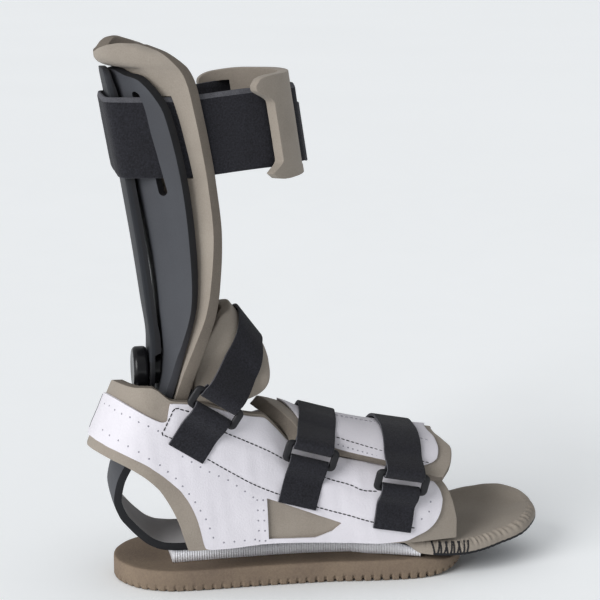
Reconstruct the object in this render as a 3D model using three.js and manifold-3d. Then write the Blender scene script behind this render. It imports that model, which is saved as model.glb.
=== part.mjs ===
// Pressure relief ankle foot orthosis for a right foot: a moulded plastic frame that loops behind the heel,
// a foam calf liner and foot upper, hook and loop straps, and a rubber walking sole.
// Millimetres, +Z up, +X towards the toes, -Y the outer side of the foot, standing on its sole.
import * as THREE from 'three';
import { mergeVertices } from 'three/addons/utils/BufferGeometryUtils.js';
import Module from 'manifold-3d';

const wasm = await Module();
wasm.setup();

// Stock thicknesses and gaps
const PLASTIC = 5;
const FOAM = 6;
const VINYL = 1.3;
const LINER = 8;
const FOOTBED = 3.2;
const GAP = 0.45;
const SEWN_GAP = 0.8;
const CALF_STRAP = { thick: 3.4, width: 49.5, rearZ: 289, frontZ: 294, room: 0.6 };
const FOOT_STRAP = { thick: 2, width: 25.4 };
const BUCKLE = { thick: 2.2, bar: 2.6, width: 33.5, pitch: 12 };
const KNOB = { radius: 14.3, thick: 9.5, z: 138, shank: 3.6, clearance: 0.5, washer: 10.4, washerThick: 1.7 };
const BAR_THICK = 3.3;

// A table of rows with named columns
function table(names, rows) {
  const columns = names.split(' ');
  return rows.map((row) => Object.fromEntries(columns.map((name, i) => [name, row[i]])));
}

// Value of a column at a place along a table, on a smooth curve through its rows
function smooth(rows, key, column, at) {
  const last = rows.length - 1;
  const slope = (i) => (rows[i + 1][column] - rows[i][column]) / (rows[i + 1][key] - rows[i][key]);
  const tangent = (i) => {
    if (i === 0) return slope(0);
    if (i === last) return slope(last - 1);
    const before = slope(i - 1);
    const after = slope(i);
    return before * after <= 0 ? 0 : (2 * before * after) / (before + after);
  };
  let i = 0;
  while (i < last - 1 && at > rows[i + 1][key]) i++;
  const span = rows[i + 1][key] - rows[i][key];
  const t = THREE.MathUtils.clamp((at - rows[i][key]) / span, 0, 1);
  const [p, q, m, n] = [rows[i][column], rows[i + 1][column], tangent(i) * span, tangent(i + 1) * span];
  return (2 * t ** 3 - 3 * t ** 2 + 1) * p + (t ** 3 - 2 * t ** 2 + t) * m
    + (3 * t ** 2 - 2 * t ** 3) * q + (t ** 3 - t ** 2) * n;
}

const lerp = THREE.MathUtils.lerp;
const rad = THREE.MathUtils.degToRad;
const vec = (x, y, z) => new THREE.Vector3(x, y, z);
const steps = (from, to, count) => Array.from({ length: count }, (_, i) => lerp(from, to, i / (count - 1)));

// Geometry from points and triangles, with its faces turned outwards
function geometryOf(points, faces) {
  let volume = 0;
  for (const [a, b, c] of faces) {
    volume += points[a].dot(points[b].clone().cross(points[c]));
  }
  const turned = volume < 0 ? faces.map(([a, b, c]) => [a, c, b]) : faces;
  const geometry = new THREE.BufferGeometry();
  geometry.setAttribute('position', new THREE.Float32BufferAttribute(points.flatMap((p) => p.toArray()), 3));
  geometry.setIndex(turned.flat());
  return geometry;
}

// Closed wall between two grids of points; a loop joins its last row to its first
function wallBetween(outer, inner, loop = false) {
  const rows = outer.length;
  const columns = outer[0].length;
  const at = (side, i, j) => side * rows * columns + (i % rows) * columns + j;
  const faces = [];
  const quad = (a, b, c, d) => faces.push([a, b, c], [a, c, d]);
  for (let i = 0; i < (loop ? rows : rows - 1); i++) {
    for (let j = 0; j < columns - 1; j++) {
      quad(at(0, i, j), at(0, i, j + 1), at(0, i + 1, j + 1), at(0, i + 1, j));
      quad(at(1, i, j), at(1, i + 1, j), at(1, i + 1, j + 1), at(1, i, j + 1));
    }
    quad(at(0, i, 0), at(0, i + 1, 0), at(1, i + 1, 0), at(1, i, 0));
    const end = columns - 1;
    quad(at(0, i, end), at(1, i, end), at(1, i + 1, end), at(0, i + 1, end));
  }
  if (!loop) {
    const end = rows - 1;
    for (let j = 0; j < columns - 1; j++) {
      quad(at(0, 0, j), at(1, 0, j), at(1, 0, j + 1), at(0, 0, j + 1));
      quad(at(0, end, j), at(0, end, j + 1), at(1, end, j + 1), at(1, end, j));
    }
  }
  return geometryOf([...outer.flat(), ...inner.flat()], faces);
}

// Wall whose faces are place(u, v, offset) at an outer and an inner offset
function layer(us, vs, place, outerOffset, innerOffset, loop = false) {
  const grid = (offset) => us.map((u) => vs.map((v) => place(u, v, offset)));
  return wallBetween(grid(outerOffset), grid(innerOffset), loop);
}

// Solid through a stack of plan loops, closed at both ends by strips between the loop's two sides
function stack(loops) {
  const count = loops[0].length;
  const points = loops.flat();
  const faces = [];
  for (let k = 0; k < loops.length - 1; k++) {
    for (let i = 0; i < count; i++) {
      const [a, b] = [k * count + i, k * count + ((i + 1) % count)];
      faces.push([a, b, b + count], [a, b + count, a + count]);
    }
  }
  const top = (loops.length - 1) * count;
  const cap = (a, b, c) => faces.push([a, c, b], [top + a, top + b, top + c]);
  for (let i = 0; i < count / 2; i++) {
    const [a, b, c, d] = [i, i + 1, count - i - 1, (count - i) % count];
    if (b !== c) cap(a, b, c);
    if (a !== d) cap(a, c, d);
  }
  return geometryOf(points, faces);
}

// Boolean cuts on closed geometries
function solid(geometry) {
  const bare = geometry.clone();
  for (const name of Object.keys(bare.attributes)) {
    if (name !== 'position') bare.deleteAttribute(name);
  }
  const merged = mergeVertices(bare, 1e-4);
  return new wasm.Manifold(new wasm.Mesh({
    numProp: 3,
    vertProperties: new Float32Array(merged.attributes.position.array),
    triVerts: new Uint32Array(merged.index.array),
  }));
}

function geometryFrom(body) {
  const mesh = body.getMesh();
  const geometry = new THREE.BufferGeometry();
  geometry.setAttribute('position', new THREE.BufferAttribute(new Float32Array(mesh.vertProperties), 3));
  geometry.setIndex(Array.from(mesh.triVerts));
  return geometry;
}

function cut(geometry, ...tools) {
  return geometryFrom(tools.reduce((body, tool) => body.subtract(solid(tool)), solid(geometry)));
}

// Named pieces of the assembly
const orthosis = new THREE.Group();

const finish = {
  plastic: { color: 0x4d4f54, roughness: 0.55, metalness: 0 },
  gloss: { color: 0x17181a, roughness: 0.25, metalness: 0 },
  foam: { color: 0x9a9086, roughness: 0.9, metalness: 0 },
  vinyl: { color: 0xe9e8ec, roughness: 0.5, metalness: 0 },
  strap: { color: 0x26262a, roughness: 0.95, metalness: 0 },
  rubber: { color: 0x857264, roughness: 0.85, metalness: 0 },
  ribbed: { color: 0xd5d7da, roughness: 0.6, metalness: 0 },
};

function piece(name, geometry, look) {
  const mesh = new THREE.Mesh(geometry, new THREE.MeshStandardMaterial(finish[look]));
  mesh.name = name;
  orthosis.add(mesh);
}

// Walking sole: plan half widths on each side, with a toe rocker under it
const SOLE = {
  thick: 13.7, rim: 1.6, toeX: 99, rockerFrom: 58, rockerRise: 7.2, taperFrom: 56, taperTo: 82, taper: 3,
};
const soleRows = table('x near far', [
  [-134, 0, 0], [-133, 9, 9], [-129, 18.5, 18.5], [-122, 28, 28], [-112, 35, 35], [-98, 39.5, 39],
  [-80, 40.5, 39],
  [-40, 40, 37], [0, 41, 38], [30, 44.5, 41.5], [55, 46, 43.5], [72, 44, 42], [84, 38, 37], [92, 28, 28],
  [97, 15, 15], [99, 0, 0],
]);
const SOLE_SIDE = [-134, -132.6, -129, -122, -112, -98, -80, -55, -25, 0, 20, 38, 55, 68, 80, 89, 95,
  98.2, 99];

function planLoop(rows, xs, inset, height) {
  const edge = (x, column, sign) => {
    const half = Math.max(smooth(rows, 'x', column, x) - inset, 0.001);
    return vec(x, sign * half, height(x));
  };
  const [heel, toe] = [xs[0], xs[xs.length - 1]];
  const squeeze = (x) => lerp(heel + inset, toe - inset, (x - heel) / (toe - heel));
  const inner = xs.slice(1, -1).map(squeeze);
  const first = vec(squeeze(heel), 0, height(squeeze(heel)));
  const last = vec(squeeze(toe), 0, height(squeeze(toe)));
  const near = inner.map((x) => edge(x, 'near', -1));
  const far = inner.map((x) => edge(x, 'far', 1)).reverse();
  return [first, ...near, last, ...far];
}

const soleRocker = (x) => (
  SOLE.rockerRise * Math.max(0, (x - SOLE.rockerFrom) / (SOLE.toeX - SOLE.rockerFrom)) ** 2
);
const soleTop = (x) => SOLE.thick - SOLE.taper * THREE.MathUtils.smoothstep(x, SOLE.taperFrom, SOLE.taperTo);
piece('outsole', stack([
  planLoop(soleRows, SOLE_SIDE, SOLE.rim, soleRocker),
  planLoop(soleRows, SOLE_SIDE, 0, (x) => soleRocker(x) + SOLE.rim),
  planLoop(soleRows, SOLE_SIDE, 0, (x) => soleTop(x) - SOLE.rim),
  planLoop(soleRows, SOLE_SIDE, SOLE.rim, soleTop),
]), 'rubber');

// Frame: line of its outer face down the calf, round the heel loop and along the foot plate
const frameRows = table('x z half sag', [
  [-130.6, 328.5, 15, 2.6], [-129.6, 324.5, 27, 8], [-127.4, 318.5, 35, 15.4], [-125, 310, 39, 20.4],
  [-122, 298, 40.5, 24.2], [-115.6, 258, 41, 27.3], [-107.7, 216, 40, 23.9], [-103.6, 184, 38.5, 19],
  [-102, 160, 36, 10.6],
  [-101.2, 146, 33.5, 4.8], [-103, 130, 30.5, 1.8], [-108, 114, 28, 1], [-117, 98.5, 26, 0.8],
  [-127, 83.5, 25.2, 0.6],
  [-133.8, 69, 25, 0.5], [-135.6, 58, 25, 0.5], [-132, 46.8, 25, 0.5], [-126.6, 39.6, 25, 0.5],
  [-120.2, 32.8, 25, 0.5], [-112.6, 26.6, 25, 0.5], [-103.4, 23, 25, 0.5], [-92, 22, 24.5, 0.4],
  [-60, 22, 23, 0.3],
  [-20, 22, 22.5, 0.3], [14, 21.4, 25, 0.3], [40, 19, 31, 0.3], [60, 16.2, 36, 0.3],
  [80, 14.7, 38.2, 0.3],
  [98, 15.4, 37, 0.3], [116, 17.8, 31.5, 0.3], [130, 20.5, 23.5, 0.3], [139, 22.4, 15, 0.3],
  [145, 23.6, 5, 0.3],
]);
frameRows.forEach((row, i) => {
  const last = frameRows[i - 1];
  row.s = last ? last.s + Math.hypot(row.x - last.x, row.z - last.z) : 0;
});
const frameAt = (s) => ({
  x: smooth(frameRows, 's', 'x', s),
  z: smooth(frameRows, 's', 'z', s),
  half: smooth(frameRows, 's', 'half', s),
  sag: smooth(frameRows, 's', 'sag', s),
});

// Roll of the toe plate: its inner side stands higher
const ROLL = {
  from: 48, to: 92, nearSlope: 0.03, farSlope: 0.06, cup: 0.0034, toeCup: 0.0036, cupFrom: 70, cupTo: 118,
};
const rolled = (p) => {
  const cup = ROLL.cup + ROLL.toeCup * THREE.MathUtils.smoothstep(p.x, ROLL.cupFrom, ROLL.cupTo);
  const rise = p.y < 0 ? p.y * ROLL.nearSlope : p.y * ROLL.farSlope + p.y * p.y * cup;
  return p.setZ(p.z + rise * THREE.MathUtils.smoothstep(p.x, ROLL.from, ROLL.to));
};

// Point of the frame: s along its line, arc from -1 to 1 across it, offset towards the leg and foot
function framePoint(s, arc, offset) {
  const here = frameAt(s);
  const [before, after] = [frameAt(s - 1.5), frameAt(s + 1.5)];
  const run = vec(after.x - before.x, 0, after.z - before.z).normalize();
  const inward = vec(run.z * -1, 0, run.x);
  const radius = (here.half ** 2 + here.sag ** 2) / (2 * here.sag);
  const angle = arc * Math.asin(here.half / radius);
  return rolled(vec(here.x, (radius - offset) * Math.sin(angle), here.z)
    .addScaledVector(inward, radius - (radius - offset) * Math.cos(angle)));
}

// Place along the frame's line where it first comes down to a height
function frameLevel(z) {
  let s = 0;
  while (frameAt(s).z > z) s += 0.25;
  return s;
}

const frameStations = frameRows.flatMap((row, i) => {
  const next = frameRows[i + 1];
  return next && next.s - row.s > 26 ? [row.s, (row.s + next.s) / 2] : [row.s];
});
const FRAME_ARCS = steps(-1, 1, 11);
const SLOT = { arc: 0.69, half: 0.09, top: 316, bottom: 255, reach: 4 };
const slotTool = (side) => layer(
  steps(frameLevel(SLOT.top), frameLevel(SLOT.bottom), 4),
  steps(side * (SLOT.arc - SLOT.half), side * (SLOT.arc + SLOT.half), 2),
  framePoint, -SLOT.reach, PLASTIC + SLOT.reach,
);

// Ribbed filler between the sole and the foot plate
const FILLER = { from: -98, to: 58, narrower: 1.5 };
const fillerXs = steps(FILLER.from, FILLER.to, 15);
const plateRows = frameRows.filter((row) => row.x > -104 && row.z < 30);
const plateZ = (x) => smooth(plateRows, 'x', 'z', x);
const fillerGrid = (height, roll) => fillerXs.map((x) => [-1, 1].map((side) => (
  roll(vec(x, side * (smooth(plateRows, 'x', 'half', x) - FILLER.narrower), height(x)))
)));
piece('ribbed_filler', wallBetween(
  fillerGrid((x) => plateZ(x) - GAP, rolled),
  fillerGrid(() => SOLE.thick + GAP, (p) => p),
), 'ribbed');

// Foot bed: foam cover on the plate, curled down round the edge of the toe
const BED = { curl: 6.2, curlShare: 0.76, tipX: 145, tipSlope: 0.2, deeper: 0.25, clearance: 1.3 };
const bedRows = table('x half turn lift', [
  [-84, 24, 3, 0], [-60, 33, 3, 0], [-30, 34.5, 3, 0], [0, 36, 3, 0], [30, 38.5, 4, 0], [56, 40.4, 12, 0],
  [62, 42.6, 40, 0], [66, 43.3, 62, 0], [74, 44.2, 92, 0], [90, 44.2, 96, 0.3], [106, 41.2, 96, 0.6],
  [122, 34.9, 96, 0.9], [136, 25.6, 96, 1], [146, 15.5, 96, 1], [151.6, 8.5, 96, 1],
]);
const bedTop = (x) => (
  plateZ(Math.min(x, BED.tipX)) + Math.max(0, x - BED.tipX) * BED.tipSlope + PLASTIC + BED.clearance + FOOTBED
);
function bedPoint(x, across, offset) {
  const half = smooth(bedRows, 'x', 'half', x);
  const turn = rad(smooth(bedRows, 'x', 'turn', x));
  const flat = half - BED.curl;
  const reach = Math.abs(across) / BED.curlShare;
  const angle = Math.max(0, (Math.abs(across) - BED.curlShare) / (1 - BED.curlShare)) * turn;
  const y = Math.min(reach, 1) * flat + (BED.curl + offset) * Math.sin(angle);
  const drop = (BED.curl - (BED.curl + offset) * Math.cos(angle)) * (1 + angle * BED.deeper);
  return rolled(vec(x, Math.sign(across) * y, bedTop(x) + smooth(bedRows, 'x', 'lift', x) - drop));
}
const BED_ACROSS = [-1, -0.94, -0.88, -0.82, -0.76, -0.38, 0, 0.38, 0.76, 0.82, 0.88, 0.94, 1];
const bedXs = bedRows.map((row) => row.x);
piece('foot_bed', layer(bedXs, BED_ACROSS, bedPoint, 0, -FOOTBED), 'foam');

// Calf liner: sections from the ankle up, each from the middle of the back out to a flared front edge
const linerRows = table('z back front half', [
  [113, -101, -98.4, 28.4], [121, -98.2, -97, 31.2], [130, -95.8, -94.6, 33.6], [140, -94.4, -91.6, 36.4],
  [149, -94, -88, 37.4], [163, -95, -82.4, 38], [179, -96.6, -76.6, 38.6], [194, -98, -74, 39.2],
  [228, -103.4, -71.5, 40], [258, -109, -74.8, 40], [289, -114, -79.5, 40.5],
  [310, -118.4, -84, 41.5],
  [320, -121.2, -87, 42.6], [327, -123.6, -90.6, 43.3], [330.8, -126, -93.6, 43.7],
  [331.8, -132.5, -95.2, 44],
  [334.6, -137.2, -98.6, 44.2], [339, -139.4, -104.8, 43.6], [343.2, -139.8, -117, 40.5],
]);
const LINER_RIM = { upright: 0.1, from: 331, to: 343 };
const rimRows = table('t rise', [
  [-1, 3.3], [-0.7, 3.2], [-0.5, 2.1], [-0.3, 0], [0, -3.2], [0.15, -2.4], [0.3, -1.5], [0.45, 1.8],
  [0.6, 4.1], [0.75, 4.7], [1, 2.8],
]);
const rimDips = table('t dip', [
  [-1, 2.6], [-0.85, 2], [-0.7, 1], [-0.5, 0], [0.6, 0.4], [0.75, 2.2], [0.9, 5], [1, 5.6],
]);
const LINER_PATH = { arcRadius: 32, arcTurn: 64, flareLength: 17, flareTurn: 40, parts: 40 };
const linerPath = [];
{
  const arcLength = LINER_PATH.arcRadius * rad(LINER_PATH.arcTurn);
  const length = arcLength + LINER_PATH.flareLength;
  let [x, y] = [0, 0];
  for (let i = 0; i <= LINER_PATH.parts; i++) {
    linerPath.push({ t: i / LINER_PATH.parts, x, y });
    const s = ((i + 0.5) / LINER_PATH.parts) * length;
    const turn = s < arcLength ? s / LINER_PATH.arcRadius
      : rad(lerp(LINER_PATH.arcTurn, LINER_PATH.flareTurn, (s - arcLength) / LINER_PATH.flareLength));
    x += Math.sin(turn) * length / LINER_PATH.parts;
    y += Math.cos(turn) * length / LINER_PATH.parts;
  }
  const end = linerPath[LINER_PATH.parts];
  const [spanX, spanY] = [end.x, end.y];
  linerPath.forEach((p) => {
    p.x /= spanX;
    p.y /= spanY;
  });
}
function linerSkin(t, z) {
  const [back, front, half] = ['back', 'front', 'half'].map((name) => smooth(linerRows, 'z', name, z));
  const across = Math.abs(t);
  return vec(
    back + (front - back) * smooth(linerPath, 't', 'x', across),
    Math.sign(t) * half * smooth(linerPath, 't', 'y', across),
    z + smooth(rimRows, 't', 'rise', t) * THREE.MathUtils.smoothstep(z, LINER_RIM.from, LINER_RIM.to),
  );
}
function linerPoint(t, z, offset) {
  const e = 0.02;
  const [low, high] = [linerRows[0].z, linerRows[linerRows.length - 1].z];
  const along = linerSkin(Math.min(t + e, 1), z).sub(linerSkin(Math.max(t - e, -1), z));
  const up = linerSkin(t, Math.min(z + 1, high)).sub(linerSkin(t, Math.max(z - 1, low)));
  const inward = up.cross(along).normalize();
  inward.z *= LINER_RIM.upright;
  inward.normalize();
  const top = THREE.MathUtils.smoothstep(z, LINER_RIM.from, LINER_RIM.to);
  const dip = smooth(rimDips, 't', 'dip', t) * top * offset / LINER;
  return linerSkin(t, z).addScaledVector(inward, Math.sign(inward.x) * offset).sub(vec(0, 0, dip));
}
const LINER_TS = steps(-1, 1, 15);
const linerSolid = layer(LINER_TS, linerRows.map((row) => row.z), linerPoint, 0, LINER);

// Calf strap: a loop seen from above, round the bar, through the slots and round the shin pad
const PAD = {
  x: -62, radius: 49, thick: 7, height: 64, from: -50, to: 94, nearSlit: -6.5, farSlit: 77, slit: 10,
  tilt: 0.06, level: -40, slitRoom: 2,
};
const LEAN = { rear: 0.17, front: 0.155, rearX: -130, frontX: -12, climbFrom: -95, climbTo: -35 };
const padArc = (degrees, radius) => (
  vec(PAD.x + radius * Math.cos(rad(degrees)), radius * Math.sin(rad(degrees)), 0)
);
const STRAP_OVER = PAD.radius + GAP + CALF_STRAP.thick / 2;
const STRAP_UNDER = PAD.radius - PAD.thick - 2 * GAP - CALF_STRAP.thick / 2;
const rearRoute = (side) => [
  [-130.9, side * 9], [-130.7, side * 21], [-128.7, side * 26.2], [-120, side * 28.2],
  [-111.5, side * 29],
  [-104, side * 29.8], [-96, side * 30.6], [-88, side * 31], [-78, side * 31.6],
].map(([x, y]) => vec(x, y, 0));
const padRoute = [
  vec(-66, -31.6, 0), vec(-51, -31.4, 0), padArc(-43.5, STRAP_UNDER), padArc(-30, STRAP_UNDER),
  padArc(-20, STRAP_UNDER), padArc(-12.5, STRAP_UNDER + 1),
  padArc(-0.5, STRAP_OVER - 1), padArc(6.5, STRAP_OVER), ...[20, 35, 50].map((a) => padArc(a, STRAP_OVER)),
  padArc(64, STRAP_OVER), padArc(71, STRAP_OVER - 1), padArc(83, STRAP_UNDER + 1), padArc(90, STRAP_UNDER),
  vec(-66, 37.6, 0),
];
const strapRoute = new THREE.CatmullRomCurve3(
  [...rearRoute(-1), ...padRoute, ...rearRoute(1).reverse()], true, 'centripetal',
);
const STRAP_PARTS = 84;
const strapTurns = strapRoute.getSpacedPoints(STRAP_PARTS).slice(0, STRAP_PARTS);
const leaned = (x, y, rise) => {
  const share = THREE.MathUtils.clamp((x - LEAN.rearX) / (LEAN.frontX - LEAN.rearX), 0, 1);
  const climb = THREE.MathUtils.smoothstep(x, LEAN.climbFrom, LEAN.climbTo);
  return vec(
    x - lerp(LEAN.rear, LEAN.front, share) * rise,
    y,
    lerp(CALF_STRAP.rearZ, CALF_STRAP.frontZ, climb) + rise,
  );
};
function strapPoint(i, rise, offset) {
  const here = strapTurns[i];
  const next = strapTurns[(i + 1) % STRAP_PARTS];
  const last = strapTurns[(i + STRAP_PARTS - 1) % STRAP_PARTS];
  const run = next.clone().sub(last).normalize();
  return leaned(here.x + run.y * offset, here.y - run.x * offset, rise);
}
const strapIndex = strapTurns.map((_, i) => i);
const strapHeights = (extra) => steps(-CALF_STRAP.width / 2 - extra, CALF_STRAP.width / 2 + extra, 3);
const strapLayer = (extra) => {
  const half = CALF_STRAP.thick / 2 + extra;
  return layer(strapIndex, strapHeights(extra), strapPoint, half, -half, true);
};
piece('calf_strap', strapLayer(0), 'strap');
const strapRoom = strapLayer(CALF_STRAP.room);
piece('calf_liner', cut(linerSolid, strapRoom), 'foam');
piece('frame_shell', cut(
  layer(frameStations, FRAME_ARCS, framePoint, 0, PLASTIC),
  slotTool(-1),
  slotTool(1),
  strapRoom,
), 'plastic');

// Shin pad: a curved foam pad with a slit near each end for the strap
const padPoint = (degrees, rise, offset) => {
  const p = padArc(degrees, PAD.radius - offset);
  return leaned(p.x, p.y, rise + (p.x - PAD.level) * PAD.tilt);
};
const padHeights = steps(-PAD.height / 2, PAD.height / 2, 5);
const padSlit = (centre) => layer(
  steps(centre - PAD.slit, centre + PAD.slit, 3),
  [-CALF_STRAP.width / 2 - PAD.slitRoom, CALF_STRAP.width / 2 + PAD.slitRoom],
  padPoint, -3, PAD.thick + 3,
);
piece('shin_pad', cut(
  layer(steps(PAD.from, PAD.to, 15), padHeights, padPoint, 0, PAD.thick),
  padSlit(PAD.nearSlit),
  padSlit(PAD.farSlit),
), 'foam');

// Hook tab closed on the front of the calf strap
const TAB = { from: 9, to: 58, bottom: -26, top: 12, thick: 2.4 };
const tabPoint = (degrees, rise, offset) => {
  const p = padArc(degrees, PAD.radius + 2 * GAP + CALF_STRAP.thick + offset);
  return leaned(p.x, p.y, rise);
};
piece('calf_strap_tab', layer(
  steps(TAB.from, TAB.to, 8), [TAB.bottom, TAB.top], tabPoint, TAB.thick, 0,
), 'strap');

// Anti-rotation bar behind the calf, hung on its pivot knob
const barRows = table('z x half', [
  [123.6, -109.6, 4.5], [126.5, -109.6, 9.5], [131, -109.6, 12.6], [138, -109.6, 13.8],
  [156, -109.2, 13.8],
  [182, -112.1, 18], [215, -116.4, 21.5], [260, -123.4, 23], [300, -130, 23], [318, -133.2, 22.5],
  [326, -134.8, 20.5], [330.2, -135.6, 15.5],
]);
const BAR_STIFF = { extra: 2.7, from: 149.2, full: 153.6, fall: 262, to: 300 };
const barThick = (z) => BAR_THICK + BAR_STIFF.extra * (
  THREE.MathUtils.smoothstep(z, BAR_STIFF.from, BAR_STIFF.full)
  - THREE.MathUtils.smoothstep(z, BAR_STIFF.fall, BAR_STIFF.to)
);
const barPoint = (z, across, depth) => vec(
  smooth(barRows, 'z', 'x', z) + depth * barThick(z),
  across * smooth(barRows, 'z', 'half', z),
  z,
);
const turned = (geometry) => geometry.rotateZ(Math.PI / 2);
const knobX = smooth(barRows, 'z', 'x', KNOB.z);
const holeRadius = KNOB.shank + KNOB.clearance;
const shankHole = turned(new THREE.CylinderGeometry(holeRadius, holeRadius, 4 * BAR_THICK, 20));
shankHole.translate(knobX, 0, KNOB.z);
const barStations = [123.6, 126.5, 131, 138, 149.2, 153.6, 169, 182, 198, 215, 237, 260, 280, 300, 318,
  326, 330.2];
piece('anti_rotation_bar', cut(
  layer(barStations, steps(-1, 1, 4), barPoint, 0, 1),
  shankHole,
), 'plastic');
const knobProfile = [
  [0, 0], [KNOB.radius - 3, 0], [KNOB.radius - 0.9, 0.9], [KNOB.radius, 3], [KNOB.radius, KNOB.thick - 3],
  [KNOB.radius - 0.9, KNOB.thick - 0.9], [KNOB.radius - 3, KNOB.thick], [KNOB.shank, KNOB.thick],
  [KNOB.shank, KNOB.thick + 2 * GAP + BAR_THICK], [KNOB.washer, KNOB.thick + 2 * GAP + BAR_THICK],
  [KNOB.washer, KNOB.thick + 2 * GAP + BAR_THICK + KNOB.washerThick],
  [0, KNOB.thick + 2 * GAP + BAR_THICK + KNOB.washerThick],
].map(([r, h]) => new THREE.Vector2(r, h));
const knob = new THREE.LatheGeometry(knobProfile, 24).rotateZ(-Math.PI / 2);
knob.translate(knobX - GAP - KNOB.thick, 0, KNOB.z);
piece('pivot_knob', mergeVertices(geometryFrom(solid(knob))), 'gloss');

// Foot form: half width and arch height of the upper's outer face along the foot
const FLOOR = 26;
const ROUND = 0.8;
const formRows = table('x half arch', [
  [-108, 42, 190], [-85, 43.5, 178], [-65, 44, 150], [-50, 44, 122], [-40, 44, 104], [-30, 44.2, 86],
  [-20, 44.5, 74],
  [-5, 45, 67], [17, 46, 62.5], [37, 46.5, 58], [55, 45.5, 55], [71, 43.5, 52.5], [88, 41, 50],
]);
const vampRows = table('x half arch', [
  [-42, 43, 80], [-30, 44, 77.5], [-20, 44.5, 74], [-5, 45, 67], [17, 46, 62.5], [37, 46.5, 58],
  [55, 45.5, 55], [71, 43.5, 52.5], [90, 41, 50],
]);
const formHalf = (rows, x, offset) => smooth(rows, 'x', 'half', x) + offset;
const formArch = (rows, x, offset) => smooth(rows, 'x', 'arch', x) + offset;

// Half width of the form at a height
function formReach(rows, x, z, offset) {
  const share = THREE.MathUtils.clamp((z - FLOOR) / formArch(rows, x, offset), 0, 1);
  return formHalf(rows, x, offset) * (1 - share ** (2 / ROUND)) ** (ROUND / 2);
}

// Foot upper: one foam wall from the toe's outer side, round the ankle and back to the toe's inner side
const REAR = { x: -108, turn: 100, depth: 26.5, slant: 0.385, fromZ: 130, widest: 90 };
const upperRows = table('run top bottom coverTop coverBottom', [
  [-194, 38, 25, 46, 45], [-192, 48, 25, 47, 45], [-189, 57, 25, 50, 44], [-183, 64.5, 25, 57, 38],
  [-176, 68, 25, 61.5, 32], [-163, 72, 25, 69.5, 27], [-143, 76.5, 26.2, 74.5, 26.7],
  [-123, 81, 27.6, 79, 28.1],
  [-103, 85.5, 29, 83.5, 29.5], [-86, 93.5, 29.8, 91.5, 30.3], [-76, 104, 30, 102.5, 30.5],
  [-68, 111.5, 30, 110, 30.5],
  [-60, 113.5, 29.6, 112, 30.1], [-48, 117, 28.8, 115.5, 29.3], [-33, 122, 28.3, 120.5, 28.8],
  [-26, 124, 28.2, 122.5, 31], [-21, 125, 28.4, 123.5, 45], [-17.5, 125.5, 38, 124, 55],
  [-13, 126, 49, 122, 63], [-8, 127, 59, 116, 70], [0, 131, 69, 113.6, 78], [10, 133.6, 76.5, 117, 86],
  [20, 134.2, 81.5, 120.5, 91.5], [34, 133, 85, 122, 95], [50, 131, 86, 121.5, 96.5],
]);
const FAR = {
  drop: 20, dropFrom: 48, dropTo: 80, lowTop: 96, highTop: 116, lift: 9.5, liftFrom: 45, liftTo: 85,
};
function upperEdge(run, column) {
  const near = run <= REAR.turn / 2;
  const value = smooth(upperRows, 'run', column, near ? run : REAR.turn - run);
  if (column.toLowerCase().includes('top')) {
    const ankle = THREE.MathUtils.smoothstep(value, FAR.lowTop, FAR.highTop);
    return value - ankle * FAR.drop * THREE.MathUtils.smoothstep(run, FAR.dropFrom, FAR.dropTo);
  }
  const x = REAR.x + run - REAR.turn;
  return value + THREE.MathUtils.smoothstep(x, FAR.liftFrom, FAR.liftTo) * FAR.lift;
}
function upperSkin(run, z, offset) {
  if (run < 0 || run > REAR.turn) {
    const x = run < 0 ? REAR.x - run : REAR.x + run - REAR.turn;
    return vec(x, Math.sign(run) * formReach(formRows, x, z, offset), z);
  }
  const angle = (run / REAR.turn) * Math.PI;
  const depth = REAR.depth + (REAR.fromZ - Math.max(z, REAR.widest)) * REAR.slant + offset;
  const reach = formReach(formRows, REAR.x, z, offset);
  return vec(REAR.x - depth * Math.sin(angle), -reach * Math.cos(angle), z);
}
const halfRuns = [-194, -192, -189, -183, -176, -163, -143, -123, -103, -86, -76, -68, -58, -45, -33,
  -26, -21, -17.5,
  -13, -8, 0, 10, 20, 34];
const runs = [...halfRuns, 50, ...halfRuns.map((run) => REAR.turn - run).reverse()];
const upperPlace = (top, bottom) => (run, share, offset) => upperSkin(
  run, lerp(upperEdge(run, bottom), upperEdge(run, top), share), offset,
);
piece('upper_foam', layer(runs, steps(0, 1, 7), upperPlace('top', 'bottom'), 0, -FOAM), 'foam');

// White cover of the upper, with a triangular window over the foam on each side of the arch
const coverRuns = runs.slice(2, -2);
const windowTool = (side) => {
  const corners = [[-40, 60.5], [8.5, 41.5], [2, 36.5], [-9, 33], [-39, 33.5]];
  const shape = new THREE.Shape(corners.map(([x, z]) => new THREE.Vector2(x, z)));
  const prism = new THREE.ExtrudeGeometry(shape, { depth: 30, bevelEnabled: false });
  return prism.rotateX(Math.PI / 2).translate(0, side < 0 ? -30 : 60, 0);
};
piece('upper_cover', cut(
  layer(coverRuns, steps(0, 1, 7), upperPlace('coverTop', 'coverBottom'), SEWN_GAP + VINYL, SEWN_GAP),
  windowTool(-1),
  windowTool(1),
), 'vinyl');

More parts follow.
